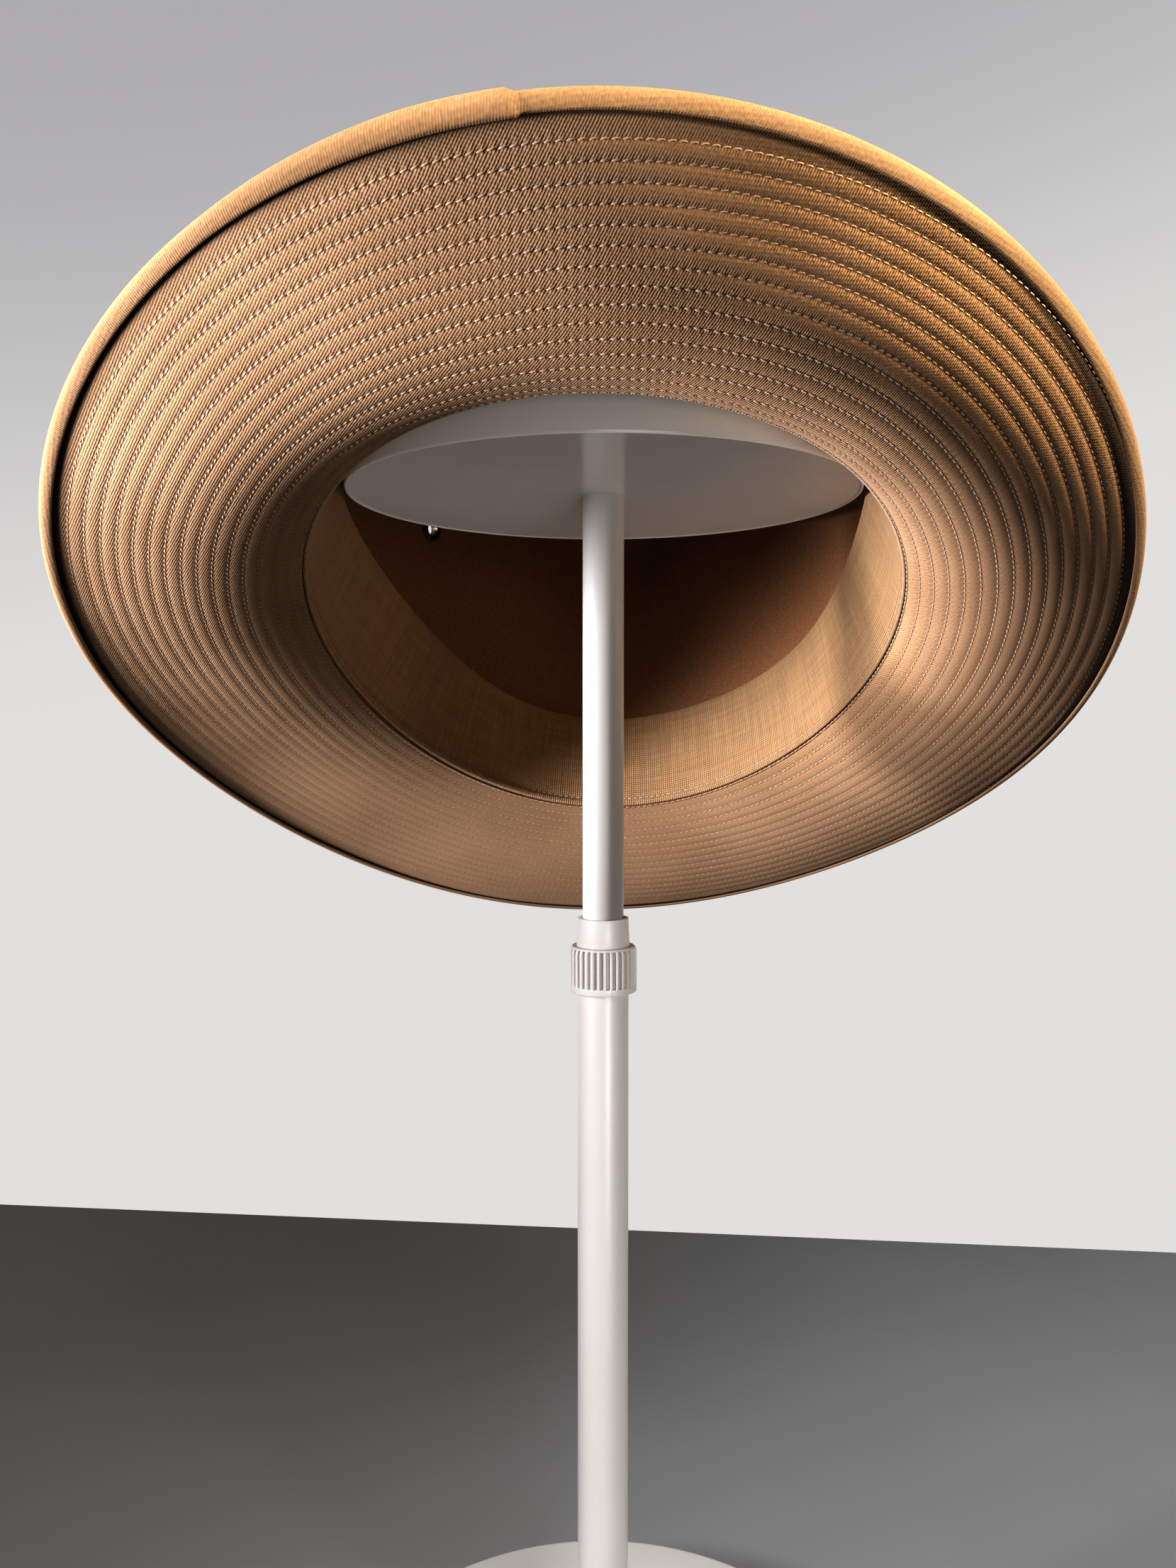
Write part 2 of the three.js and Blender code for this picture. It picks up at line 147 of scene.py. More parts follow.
# %% [markdown]
# ## The brim's curve
#
# The brim droops as it leaves the crown and turns up again towards its edge, more at the back than at
# the front. Each section gives its width and three slopes, and the slope between them is a smooth curve.
# Walking outwards along that slope gives a point at any distance over the cloth.

# %% Sections of the brim
BRIM_WIDTH = (65.5, 65.5, 64, 64.5, 67, 66, 63.5, 62)
BREAK_SLOPE = (-45, -30, -25, -29, -36, -44, -37, -44)
MIDDLE_SLOPE = (-3, -9, -15, -11, -8, 3, 26, 22)
EDGE_SLOPE = (12, 6, -1, -17, -13, 14, 31, 31)
BRIM_THICKNESS = 2.2
SLOPE_STEPS = 24


def brim_point(angle, distance, lift):
    """Points at a distance over the cloth from the seam, lifted off the brim's underside."""
    angle, distance, lift = np.broadcast_arrays(angle, distance, lift)
    width = around(BRIM_WIDTH, angle)
    slopes = [np.radians(around(table, angle)) for table in (BREAK_SLOPE, MIDDLE_SLOPE, EDGE_SLOPE)]

    def slope_at(share):
        inner = slopes[0] * (1 - share) * (1 - 2 * share)
        middle = slopes[1] * 4 * share * (1 - share)
        outer = slopes[2] * share * (2 * share - 1)
        return inner + middle + outer

    step = distance / SLOPE_STEPS
    out, up = 0, 0
    for i in range(SLOPE_STEPS):
        slope = slope_at((i + 0.5) * step / width)
        out = out + step * np.cos(slope)
        up = up + step * np.sin(slope)
    slope = slope_at(distance / width)
    return off_seam(angle, out - lift * np.sin(slope), up + lift * np.cos(slope))


brim_edge = brim_point(full_turn, around(BRIM_WIDTH, full_turn), 0)
print("brim outline:", np.ptp(brim_edge, axis=0).round(1), "mm")

# %% [markdown]
# ## A cloth hoop
#
# Brim, binding, sweatband and crown are all strips of cloth that run once round the head. Each starts as
# a flat grid, like cloth on the table: its columns go round the hat and its rows go across the strip.
# The grid is then laid in place and its two ends are sewn together by merging the doubled points.
# Its flat position is kept in a UV map, so that the weave follows the cloth.

# %% Lay a flat grid round the hat
SEW_GAP = 0.002 * MM


def deselect():
    bpy.ops.object.select_all(action="DESELECT")


def edit(mesh_work):
    """Runs operators in edit mode on the whole of the active mesh."""
    bpy.ops.object.mode_set(mode="EDIT")
    bpy.ops.mesh.select_all(action="SELECT")
    mesh_work()
    bpy.ops.object.mode_set(mode="OBJECT")


def sew():
    bpy.ops.mesh.remove_doubles(threshold=SEW_GAP)
    bpy.ops.mesh.normals_make_consistent(inside=False)


def flat_grid(name, columns, rows):
    """A flat grid, and the column and row of each of its points."""
    deselect()
    bpy.ops.mesh.primitive_grid_add(x_subdivisions=columns, y_subdivisions=rows, size=2)
    piece = bpy.context.object
    piece.name = name
    flat = np.empty(len(piece.data.vertices) * 3)
    piece.data.vertices.foreach_get("co", flat)
    flat = flat.reshape(-1, 3)
    column = np.rint((flat[:, 0] + 1) / 2 * columns).astype(int)
    row = np.rint((flat[:, 1] + 1) / 2 * rows).astype(int)
    return piece, column, row


def corner_points(piece):
    """The point that each face corner uses."""
    corners = np.empty(len(piece.data.loops), int)
    piece.data.loops.foreach_get("vertex_index", corners)
    return corners


def add_uv(piece, name, corner_uv):
    layer = piece.data.uv_layers.get(name) or piece.data.uv_layers.new(name=name)
    layer.data.foreach_set("uv", np.ascontiguousarray(corner_uv, float).ravel())


def mark_inside(piece, corner_inside):
    """Faces with a corner on the hidden side of the cloth take the second material."""
    inside = corner_inside.reshape(-1, 4).any(axis=1)
    piece.data.polygons.foreach_set("material_index", inside.astype(np.int32))


def lay(piece, points):
    """Puts the grid's points in place on the stand, then sews the ends of the grid together."""
    piece.data.vertices.foreach_set("co", on_stand(points).ravel())
    piece.data.update()
    edit(sew)
    bpy.ops.object.shade_smooth()


def settle(piece, slot, *nodes):
    """The piece rides on the stand and stands for these CAD nodes; the slot is not used."""
    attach(piece, "root")
    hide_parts(*nodes)
    print(piece.name, "-", len(piece.data.polygons), "faces")


print("cloth helpers ready, sewing points up to", SEW_GAP / MM, "mm apart")

# %% [markdown]
# ## Brim cloth
#
# The brim is two layers of twill, sewn together in closely spaced rings. Between two rings the cloth
# puffs up into a rib, and the ribs grow bolder towards the edge. Bump alone would leave the outline of
# the ribs flat, so they are modelled: grid rows lie exactly on the rows of stitching, with several more
# between them to carry each rib's round back. A second UV map counts stitches along each row, for the
# small puckers that every stitch pulls into the cloth. A third tells how far each place lies from the
# shade beside the binding.

# %% Rows of stitching
ROWS = 16
# Place of the first row and step between rows, as shares of the brim's width: right, front, left, back
FIRST_ROW = (0.017, 0.021, 0.034, 0.021)
ROW_SPACING = (0.0645, 0.0577, 0.0586, 0.0565)
STITCH_PITCH = 2.1
RIB_INNER = 0.12
RIB_OUTER = 0.21
RIB_GROWTH = 0.8
RIB_ROUNDNESS = 0.38


def row_distance(row, angle):
    """How far a row of stitching lies from the seam."""
    return around(BRIM_WIDTH, angle) * (around(FIRST_ROW, angle) + around(ROW_SPACING, angle) * row)


def rib_height(row):
    """Ribs grow from the seam to the edge."""
    share = np.clip(row / (ROWS - 1), 0, 1)
    return RIB_INNER + (RIB_OUTER - RIB_INNER) * share ** RIB_GROWTH


row_lengths = [ring_length(brim_point(full_turn, row_distance(row, full_turn), 0))
               for row in range(ROWS)]
stitch_counts = [round(lengths[-1] / STITCH_PITCH) for lengths in row_lengths]
print("stitches in the first and last row:", stitch_counts[0], stitch_counts[-1])

# %% Two layers of ribbed twill
PLY_COLUMNS = 800
RIB_STEPS = 6
INNER_STEPS = 3
OUTER_STEPS = 4
LINING_STEPS = 5
PLY_INNER = 1.3
# How far short of the brim's edge each layer ends: right, front, left, back
UNDER_END = (2.4, 1.8, 2.9, 3.2)
UPPER_END = (1.5, 1.5, 1.5, 1.5)
LAST_MARGIN = 0.4
SELVEDGE_PUFF = 0.8
# Where the shade beside the binding ends, in from the edge: right, front right, front, front left, left,
# back left, back, back right
SHADE_END = (5.2, 2.2, 2.0, 2.2, 4.0, 4.6, 4.6, 6.0)


def ply_stations():
    """Places across a layer, in rows of stitching, from just inside the first row to past the last."""
    inner = np.linspace(-1, 0, INNER_STEPS, endpoint=False)
    ribs = np.linspace(0, ROWS - 1, (ROWS - 1) * RIB_STEPS, endpoint=False)
    outer = np.linspace(ROWS - 1, ROWS, OUTER_STEPS + 1)
    return np.concatenate((inner, ribs, outer))


def ply_distance(station, angle, end):
    """Distance from the seam; on the right the last row runs in under the binding."""
    inside = PLY_INNER + (row_distance(0, angle) - PLY_INNER) * (station + 1)
    last = row_distance(ROWS - 1, angle)
    rim = np.maximum(around(BRIM_WIDTH, angle) - around(end, angle), last + LAST_MARGIN)
    outside = last + (rim - last) * (station - ROWS + 1)
    across = row_distance(station, angle)
    return np.where(station < 0, inside, np.where(station > ROWS - 1, outside, across))


def puff(station):
    """Height of the cloth over the bottom of the rows: nothing on a row, full between two rows."""
    between = np.abs(station - np.rint(station))
    rib = np.sin(math.pi * between) ** RIB_ROUNDNESS
    margin = np.where(station < 0, -station, station - ROWS + 1)
    selvedge = np.sin(np.clip(margin, 0, 1) * math.pi / 2) ** RIB_ROUNDNESS
    ribbed = (station >= 0) & (station <= ROWS - 1)
    return rib_height(station) * (np.where(ribbed, rib, SELVEDGE_PUFF * selvedge) - 0.5)


def brim_ply(name, face_lift, puff_sign, end):
    """One layer: its ribbed face, and a plain inner face that closes it."""
    face = ply_stations()
    lining = np.linspace(ROWS, -1, LINING_STEPS + 1)
    station = np.concatenate((face, lining, face[:1]))
    is_face = np.concatenate((np.ones(len(face)), np.zeros(len(lining)), [1]))
    piece, column, row = flat_grid(name, PLY_COLUMNS, len(station) - 1)
    angle = BACK + math.tau * column / PLY_COLUMNS
    place = station[row]
    ribbed = face_lift + puff_sign * puff(place)
    lift = np.where(is_face[row] > 0, ribbed, BRIM_THICKNESS / 2)
    distance = ply_distance(place, angle, end)
    points = brim_point(angle, distance, lift)

    corners = corner_points(piece)
    add_uv(piece, "UVMap", points[corners][:, :2] * MM)
    past_shade = around(BRIM_WIDTH, angle) - distance - around(SHADE_END, angle)
    add_uv(piece, "shade", np.stack((past_shade, 0 * past_shade), axis=-1)[corners])
    mark_inside(piece, is_face[row[corners]] == 0)
    middle = place[corners].reshape(-1, 4).mean(axis=1)
    owner = np.repeat(np.clip(np.rint(middle), 0, ROWS - 1).astype(int), 4)
    shares = np.array([np.interp(np.arange(PLY_COLUMNS + 1) / PLY_COLUMNS,
                                 np.linspace(0, 1, len(lengths)), lengths / lengths[-1])
                       for lengths in row_lengths])
    along = shares[owner, column[corners]] * np.array(stitch_counts)[owner]
    add_uv(piece, "stitches", np.stack((along, place[corners] - owner), axis=-1))
    lay(piece, points)
    return piece


brim_under = brim_ply("brim_under_cloth", 0, -1, UNDER_END)
settle(brim_under, "twill", "brim")
brim_upper = brim_ply("brim_upper_cloth", BRIM_THICKNESS, 1, UPPER_END)
settle(brim_upper, "twill", "brim")

# %% [markdown]
# ## Brim stitches
#
# Each row shows as short dashes of pale thread, lying a little aslant, with their ends diving into the
# cloth. One stitch is modelled from a cylinder: its two ends are pulled down and narrowed. The copies
# are then set out along each row at an even pitch. They are few-sided, because there are thousands.

# %% One stitch, and rows of its copies
STITCH_LENGTH = 1.85
STITCH_WIDTH = 0.5
STITCH_HEIGHT = 0.2
STITCH_SLANT = math.radians(7)
STITCH_SIDES = 4
# Straight share of a stitch, and its ends' share of the width and how deep they dive, in stitch heights
STITCH_MIDDLE = 0.44
END_WIDTH = 0.45
END_DIVE = 0.45
STEP_AHEAD = 0.001


def single_stitch():
    """Points and faces of one stitch, lying along X with the cloth at zero height."""
    deselect()
    bpy.ops.mesh.primitive_cylinder_add(vertices=STITCH_SIDES, radius=0.5, depth=1,
                                        rotation=(0, math.pi / 2, 0))
    bpy.ops.object.transform_apply(location=False, rotation=True, scale=False)
    for x in (-STITCH_MIDDLE / 2, STITCH_MIDDLE / 2):
        edit(lambda: bpy.ops.mesh.bisect(plane_co=(x, 0, 0), plane_no=(1, 0, 0)))
    stitch = bpy.context.object
    co = np.array([v.co for v in stitch.data.vertices])
    faces = [list(p.vertices) for p in stitch.data.polygons]
    bpy.data.objects.remove(stitch)
    at_end = np.abs(co[:, 0]) > STITCH_MIDDLE
    co[:, 1:] *= np.where(at_end, END_WIDTH, 1)[:, None]
    co[:, 2] -= np.where(at_end, END_DIVE, 0)
    return co * np.array((STITCH_LENGTH, STITCH_WIDTH, STITCH_HEIGHT)), faces


stitch_points, stitch_faces = single_stitch()


def stitched(name, centres, along, away):
    """A piece of stitches at these centres, each along its row and standing away from the cloth."""
    along = along / np.linalg.norm(along, axis=1, keepdims=True)
    across = np.cross(away, along)
    across /= np.linalg.norm(across, axis=1, keepdims=True)
    up = np.cross(along, across)
    slanted = along * math.cos(STITCH_SLANT) + across * math.sin(STITCH_SLANT)
    sideways = np.cross(up, slanted)
    axes = np.stack((slanted, sideways, up), axis=1)
    points = centres[:, None] + np.einsum("pk,nkd->npd", stitch_points, axes)
    count = len(stitch_points)
    faces = [[corner + n * count for corner in face] for n in range(len(centres)) for face in stitch_faces]
    mesh = bpy.data.meshes.new(name)
    mesh.from_pydata(on_stand(points.reshape(-1, 3)).tolist(), [], faces)
    piece = bpy.data.objects.new(name, mesh)
    bpy.context.collection.objects.link(piece)
    deselect()
    piece.select_set(True)
    bpy.context.view_layer.objects.active = piece
    edit(lambda: bpy.ops.mesh.normals_make_consistent(inside=False))
    bpy.ops.object.shade_smooth()
    return piece


def brim_stitches(name, face_lift, puff_sign):
    """Every row of stitches on one face of the brim, lying in the valleys between its ribs."""
    centres, along, away = [], [], []
    for row in range(ROWS):
        shares = (np.arange(stitch_counts[row]) + 0.5) / stitch_counts[row]
        lengths = row_lengths[row]
        angle = np.interp(shares * lengths[-1], lengths, full_turn)
        valley = face_lift - puff_sign * rib_height(row) / 2
        distance = row_distance(row, angle)
        here = brim_point(angle, distance, valley + puff_sign * STITCH_HEIGHT / 4)
        base = brim_point(angle, distance, valley)
        centres.append(here)
        along.append(brim_point(angle + STEP_AHEAD, row_distance(row, angle + STEP_AHEAD), valley) - base)
        away.append(brim_point(angle, distance, valley + puff_sign) - base)
    return stitched(name, np.concatenate(centres), np.concatenate(along), np.concatenate(away))


stitches_under = brim_stitches("brim_stitches_under", 0, -1)
settle(stitches_under, "twill")
stitches_upper = brim_stitches("brim_stitches_upper", BRIM_THICKNESS, 1)
settle(stitches_upper, "twill")

# %% [markdown]
# ## Rolled binding
#
# A bias strip of the same twill is folded over the brim's edge. On top it lies flat. Below, it is rolled
# into a narrow bead that stands off the cloth, and the gap behind the bead shows as a dark line, deepened
# with painted shade.
# Its section is a short chain of points round that bead. The bead is fuller at the back than at the
# front, and the strip's ends lap at the back, so one end stands a little higher than the other.

# %% Binding round the brim's edge
BINDING_COLUMNS = 1000
BINDING_THICKNESS = 0.9
BINDING_STEPS = 4
# Middle of the strip, from its upper lip round the edge to its lower lip: in from the edge, lift, and
# how far a wider bead moves it in
BINDING_PATH = ((6.8, 2.85, 0), (5.2, 3.0, 0), (3.4, 3.0, 0), (1.7, 2.6, 0), (0.7, 1.7, 0),
                (0.45, 0.6, 0), (0.5, -0.15, 0), (0.85, -0.58, 0.3), (1.4, -0.68, 0.7),
                (1.8, -0.6, 1), (2.0, -0.45, 1))
# Extra width of the bead: right, front right, front, front left, left, back left, back, back right
BEAD_EXTRA = (0.5, 0.1, 0.1, 0.1, 0.3, 1.3, 1.4, 1.3)
LAP_ANGLE = math.radians(264)
LAP_SLANT = math.radians(1.2)
LAP_WIDTH = math.radians(0.35)
LAP_HEIGHT = 0.8
# How long the raised end is, and over what angle it rises
LAP_REACH = math.radians(24)
LAP_FADE = math.radians(16)


def glide(table, place):
    """A short table read at fractional row numbers, along a smooth curve through its rows."""
    table = np.asarray(table, float)
    row = np.clip(np.floor(place).astype(int), 0, len(table) - 2)
    before, start = table[np.maximum(row - 1, 0)], table[row]
    end, after = table[row + 1], table[np.minimum(row + 2, len(table) - 1)]
    t = np.asarray(place - row)
    t = t.reshape(t.shape + (1,) * (table.ndim - 1))
    bend = 2 * before - 5 * start + 4 * end - after
    twist = 3 * start - before - 3 * end + after
    return start + 0.5 * t * (end - before + t * (bend + t * twist))


def binding_section():
    """Outer and inner face of the strip as one closed chain: in from the edge, lift, and is it outside."""
    place = np.linspace(0, len(BINDING_PATH) - 1, (len(BINDING_PATH) - 1) * BINDING_STEPS + 1)
    middle = glide(BINDING_PATH, place)
    along = np.gradient(middle[:, :2], axis=0)
    along /= np.linalg.norm(along, axis=1, keepdims=True)
    away = np.stack((along[:, 1], -along[:, 0], np.zeros(len(along))), axis=1)
    outside = middle + away * BINDING_THICKNESS / 2
    inside = middle - away * BINDING_THICKNESS / 2
    chain = np.concatenate((outside, inside[::-1], outside[:1]))
    facing = np.concatenate((away, -away[::-1], away[:1]))
    run = ring_length(chain[:, :2])
    return chain, facing, run, len(middle)


def make_binding():
    chain, facing, run, outer_count = binding_section()
    piece, column, row = flat_grid("binding_cloth", BINDING_COLUMNS, len(chain) - 1)
    angle = BACK + math.tau * column / BINDING_COLUMNS
    width = around(BRIM_WIDTH, angle)
    outside = (row < outer_count) | (row == len(chain) - 1)
    lean = LAP_SLANT * (row / outer_count - 0.5)
    lap_start = (LAP_ANGLE - BACK) % math.tau + BACK
    lapped = np.clip((lap_start + lean - angle) / LAP_WIDTH, 0, 1) * outside
    fade = np.clip((angle - lap_start + LAP_REACH) / LAP_FADE, 0, 1)
    offset = chain[row] + facing[row] * (LAP_HEIGHT * lapped * fade)[:, None]
    inward = offset[:, 0] + offset[:, 2] * around(BEAD_EXTRA, angle)
    points = brim_point(angle, width - inward, offset[:, 1])
    edge_run = ring_length(brim_point(full_turn, around(BRIM_WIDTH, full_turn), 0))
    around_edge = np.interp(angle, full_turn, edge_run)
    corners = corner_points(piece)
    add_uv(piece, "UVMap", np.stack((around_edge[corners], run[row][corners]), axis=-1) * MM)
    mark_inside(piece, ~outside[corners])
    lay(piece, points)
    return piece


binding = make_binding()
settle(binding, "twill", "brim_binding")

# %% [markdown]
# ## Crown
#
# The crown is one blocked shell: walls that lean in towards the top, a long dent along the middle and a
# pinch on each side of the front. Rings from the seam up the wall, over the ridge and down into the dent
# are read as a smooth curve. The Solidify modifier gives the cloth its thickness, and a Boolean modifier
# cuts the two vent holes, because the light shows through them.

# %% Crown shell
CROWN_COLUMNS = 360
CROWN_STEPS = 4
CROWN_THICKNESS = 1.5
CROWN_OUT = 2.8
RIDGE = (107, 110, 111, 110, 107, 103, 100, 103)
CREASE = (86, 86, 93, 86, 86, 86, 90, 86)
CREASE_REACH = 0.62
WALL_RINGS = 12
PINCH_DEPTH = 11
PINCH_FROM_FRONT = math.radians(34)
PINCH_SPREAD = math.radians(22)
PINCH_RISE = 0.82
PINCH_RISE_SPREAD = 0.27
# Rings up the wall and into the dent: share of the ridge's height, of the dent's drop, of the way in
CROWN_RINGS = ((-0.005, 0, 0), (0.08, 0, 0.004), (0.16, 0, 0.012), (0.3, 0, 0.028), (0.43, 0, 0.05),
               (0.54, 0, 0.077), (0.65, 0, 0.115), (0.75, 0, 0.16), (0.84, 0, 0.215), (0.92, 0, 0.285),
               (0.975, 0, 0.36), (1, 0, 0.44), (1, 0.1, 0.53), (1, 0.34, 0.64), (1, 0.66, 0.76),
               (1, 0.91, 0.88), (1, 1, 1))


def crown_point(angle, rise, fall, inset):
    """A point of the crown's outer face on its way in to the centre crease."""
    from_front = np.abs(np.arctan2(np.cos(angle), np.sin(angle)))
    apart = (from_front - PINCH_FROM_FRONT) / PINCH_SPREAD
    over = (rise - PINCH_RISE) / PINCH_RISE_SPREAD
    pinch = PINCH_DEPTH * np.exp(-apart ** 2 - over ** 2)
    ridge = around(RIDGE, angle)
    height = rise * ridge + fall * (around(CREASE, angle) - ridge)
    foot = off_seam(angle, CROWN_OUT, 0)
    crease = np.stack((0 * angle, CREASE_REACH * foot[..., 1], foot[..., 2]), axis=-1)
    outward = off_seam(angle, CROWN_OUT + 1, 0) - foot
    fade = 1 - inset
    point = foot + (crease - foot) * inset[..., None] - outward * (fade * pinch)[..., None]
    point[..., 2] = point[..., 2] * fade + height
    return point


def wall_point(angle, rise):
    """The crown's wall at an angle and a share of its height."""
    rises = [ring[0] for ring in CROWN_RINGS[:WALL_RINGS]]
    insets = [ring[2] for ring in CROWN_RINGS[:WALL_RINGS]]
    angle, rise = np.broadcast_arrays(np.asarray(angle, float), np.asarray(rise, float))
    return crown_point(angle, rise, 0 * rise, np.interp(rise, rises, insets))


def make_crown():
    rows = (len(CROWN_RINGS) - 1) * CROWN_STEPS
    piece, column, row = flat_grid("crown_cloth", CROWN_COLUMNS, rows)
    angle = BACK + math.tau * column / CROWN_COLUMNS
    rise, fall, inset = glide(CROWN_RINGS, row / CROWN_STEPS).T
    points = crown_point(angle, rise, fall, inset)
    round_run = np.interp(angle, full_turn, ring_length(off_seam(full_turn, CROWN_OUT, 0)))
    side_rings = glide(CROWN_RINGS, np.arange(rows + 1) / CROWN_STEPS)
    up_run = ring_length(crown_point(np.zeros(rows + 1), *side_rings.T))
    corners = corner_points(piece)
    add_uv(piece, "UVMap", np.stack((round_run[corners], up_run[row][corners]), axis=-1) * MM)
    lay(piece, points)
    return piece


crown = make_crown()

# %% Vent holes and thickness
EYELETS = {"eyelet_left": (math.radians(152), 0.7), "eyelet_right": (math.radians(22), 0.75)}
HOLE_RADIUS = 3.1
HOLE_LENGTH = 12
HOLE_SIDES = 32
FACING_STEP = 0.05


def eyelet_seat(angle, rise):
    """Where an eyelet sits in the crown's wall: a matrix with Z straight out of the cloth."""
    along = wall_point(angle + FACING_STEP, rise) - wall_point(angle - FACING_STEP, rise)
    upward = wall_point(angle, rise + FACING_STEP) - wall_point(angle, rise - FACING_STEP)
    outward = np.cross(along, upward)
    outward /= np.linalg.norm(outward)
    place = on_stand(wall_point(angle, rise) - outward * CROWN_THICKNESS / 2)
    turn = Vector(hat_turn @ outward).to_track_quat("Z", "Y").to_matrix().to_4x4()
    return Matrix.Translation(place) @ turn


def apply_modifier(piece, kind, **settings):
    modifier = piece.modifiers.new(kind.title(), kind)
    for name, value in settings.items():
        setattr(modifier, name, value)
    deselect()
    piece.select_set(True)
    bpy.context.view_layer.objects.active = piece
    bpy.ops.object.modifier_apply(modifier=modifier.name)


# An empty material slot for each side of the cloth, so that Solidify can tell the sides apart
for _ in range(2):
    crown.data.materials.append(None)
apply_modifier(crown, "SOLIDIFY", thickness=CROWN_THICKNESS * MM, offset=-1, material_offset=1)
for seat in EYELETS.values():
    deselect()
    bpy.ops.mesh.primitive_cylinder_add(vertices=HOLE_SIDES, radius=HOLE_RADIUS * MM,
                                        depth=HOLE_LENGTH * MM)
    punch = bpy.context.object
    punch.data.transform(eyelet_seat(*seat))
    apply_modifier(crown, "BOOLEAN", operation="DIFFERENCE", object=punch)
    bpy.data.objects.remove(punch)
settle(crown, "twill", "crown")

# %% [markdown]
# ## Sweatband
#
# Inside the opening runs a golden woven tape. Its lower edge is folded into a small bead and sewn to the
# seam, and its upper edge stands free, leaning in a little on the left and right. It is a closed hoop:
# up the outside, over the free edge, down the inside and under the bead.

# %% Sweatband tape
BAND_COLUMNS = 600
BAND_HEIGHT = 35
# How far the free edge leans in, at every twelfth of the way round from the right
BAND_LEAN = (9, 4.5, 3.2, 3.5, 7.5, 14, 9, 3, 2.5, 3, 2.5, 4)
BAND_THICKNESS = 1
# Down the inside of the tape: how far down from the free edge, and how far it stands in
BAND_INSIDE = ((0, 0.15), (0.4, 0.45), (2, 0.5), (12, 0.5), (24, 0.5), (30, 0.5), (31.6, 0.45),
               (32.4, 0.2), (33.0, 0.45), (33.8, 0.9), (34.6, 0.8), (35, 0.3))
BAND_STEPS = 3
# Up the outside of the tape, in the same two columns
BAND_OUTSIDE = ((35, -0.4), (24, -0.5), (12, -0.5), (0.4, -0.4), (0, 0.15))


def band_point(angle, down, inward):
    """A point of the tape, down from its free edge and in from the middle of its thickness."""
    lean = around(BAND_LEAN, angle)
    height = np.sqrt(BAND_HEIGHT ** 2 - lean ** 2)
    share = 1 - down / BAND_HEIGHT
    return off_seam(angle, BAND_THICKNESS / 2 - lean * share - inward, height * share)


def make_sweatband():
    place = np.linspace(0, len(BAND_INSIDE) - 1, (len(BAND_INSIDE) - 1) * BAND_STEPS + 1)
    chain = np.concatenate((glide(BAND_INSIDE, place), np.array(BAND_OUTSIDE)))
    piece, column, row = flat_grid("sweatband_tape", BAND_COLUMNS, len(chain) - 1)
    angle = BACK + math.tau * column / BAND_COLUMNS
    points = band_point(angle, chain[row, 0], chain[row, 1])
    round_run = np.interp(angle, full_turn, ring_length(off_seam(full_turn, 0, 0)))
    corners = corner_points(piece)
    add_uv(piece, "UVMap", np.stack((round_run[corners], chain[row, 0][corners]), axis=-1) * MM)
    lay(piece, points)
    return piece


sweatband = make_sweatband()
settle(sweatband, "sweatband_tape", "sweatband")

# %% Stitches along the sweatband
# How far down the tape the row runs, and how far in from the middle of the tape its stitches stand
BAND_ROW = 32.4
BAND_STITCH_IN = 0.25
band_count = round(head_size / STITCH_PITCH)
band_run = ring_length(off_seam(full_turn, 0, 0))
band_angle = np.interp((np.arange(band_count) + 0.5) / band_count * band_run[-1], band_run, full_turn)
band_here = band_point(band_angle, BAND_ROW, BAND_STITCH_IN)
band_along = band_point(band_angle + STEP_AHEAD, BAND_ROW, BAND_STITCH_IN) - band_here
band_away = band_point(band_angle, BAND_ROW, BAND_STITCH_IN + 1) - band_here
stitches_band = stitched("sweatband_stitches", band_here, band_along, band_away)
settle(stitches_band, "sweatband_tape")

# %% [markdown]
# ## Turned pieces
#
# Eyelets and nearly all of the stand are round. Each is drawn as half of its section, a chain of edges
# made by extruding a single point, and then spun once round the upright axis. A Bevel modifier rounds
# the edges that a mould never leaves sharp.

# %% Spin a section round
BEVEL_ANGLE = math.radians(30)
SMOOTH_ANGLE = math.radians(40)


def turned(name, profile, sides, bevel=0, segments=3):
    """A round piece from half its section, given as radius and height in millimetres."""
    deselect()
    points = [Vector((radius, 0, height)) * MM for radius, height in profile]
    bpy.ops.mesh.primitive_plane_add(size=MM)
    piece = bpy.context.object
    piece.name = name

    def draw():
        bpy.ops.mesh.merge(type="CENTER")
        bpy.ops.transform.translate(value=points[0])
        for start, end in zip(points, points[1:]):
            bpy.ops.mesh.extrude_region_move(TRANSFORM_OT_translate={"value": end - start})
        bpy.ops.mesh.select_all(action="SELECT")
        bpy.ops.mesh.spin(steps=sides, angle=math.tau, center=(0, 0, 0), axis=(0, 0, 1))
        bpy.ops.mesh.select_all(action="SELECT")
        sew()

    edit(draw)
    if bevel:
        apply_modifier(piece, "BEVEL", width=bevel * MM, segments=segments,
                       limit_method="ANGLE", angle_limit=BEVEL_ANGLE)
    bpy.ops.object.shade_smooth_by_angle(angle=SMOOTH_ANGLE)
    return piece


print("turned edges sharper than", round(math.degrees(BEVEL_ANGLE)), "degrees are rounded")

# %% Eyelets
EYELET_SIDES = 40
# Upper half of an eyelet's half section, from the barrel round the rolled flange to the bore
EYELET_FLANGE = ((3.2, 0.9), (4.4, 1.0), (4.5, 1.3), (4.0, 1.8), (3.0, 2.0), (2.4, 1.6))
EYELET_BARREL = (3.0, 0)
lower_flange = tuple((radius, -height) for radius, height in reversed(EYELET_FLANGE))
EYELET_SECTION = (*lower_flange, EYELET_BARREL, *EYELET_FLANGE, lower_flange[0])
eyelets = []
for name, seat in EYELETS.items():
    eyelet = turned(name + "_ring", EYELET_SECTION, EYELET_SIDES, bevel=0.15, segments=2)
    eyelet.data.transform(eyelet_seat(*seat))
    settle(eyelet, "eyelet_metal", name)
    eyelets.append(eyelet)

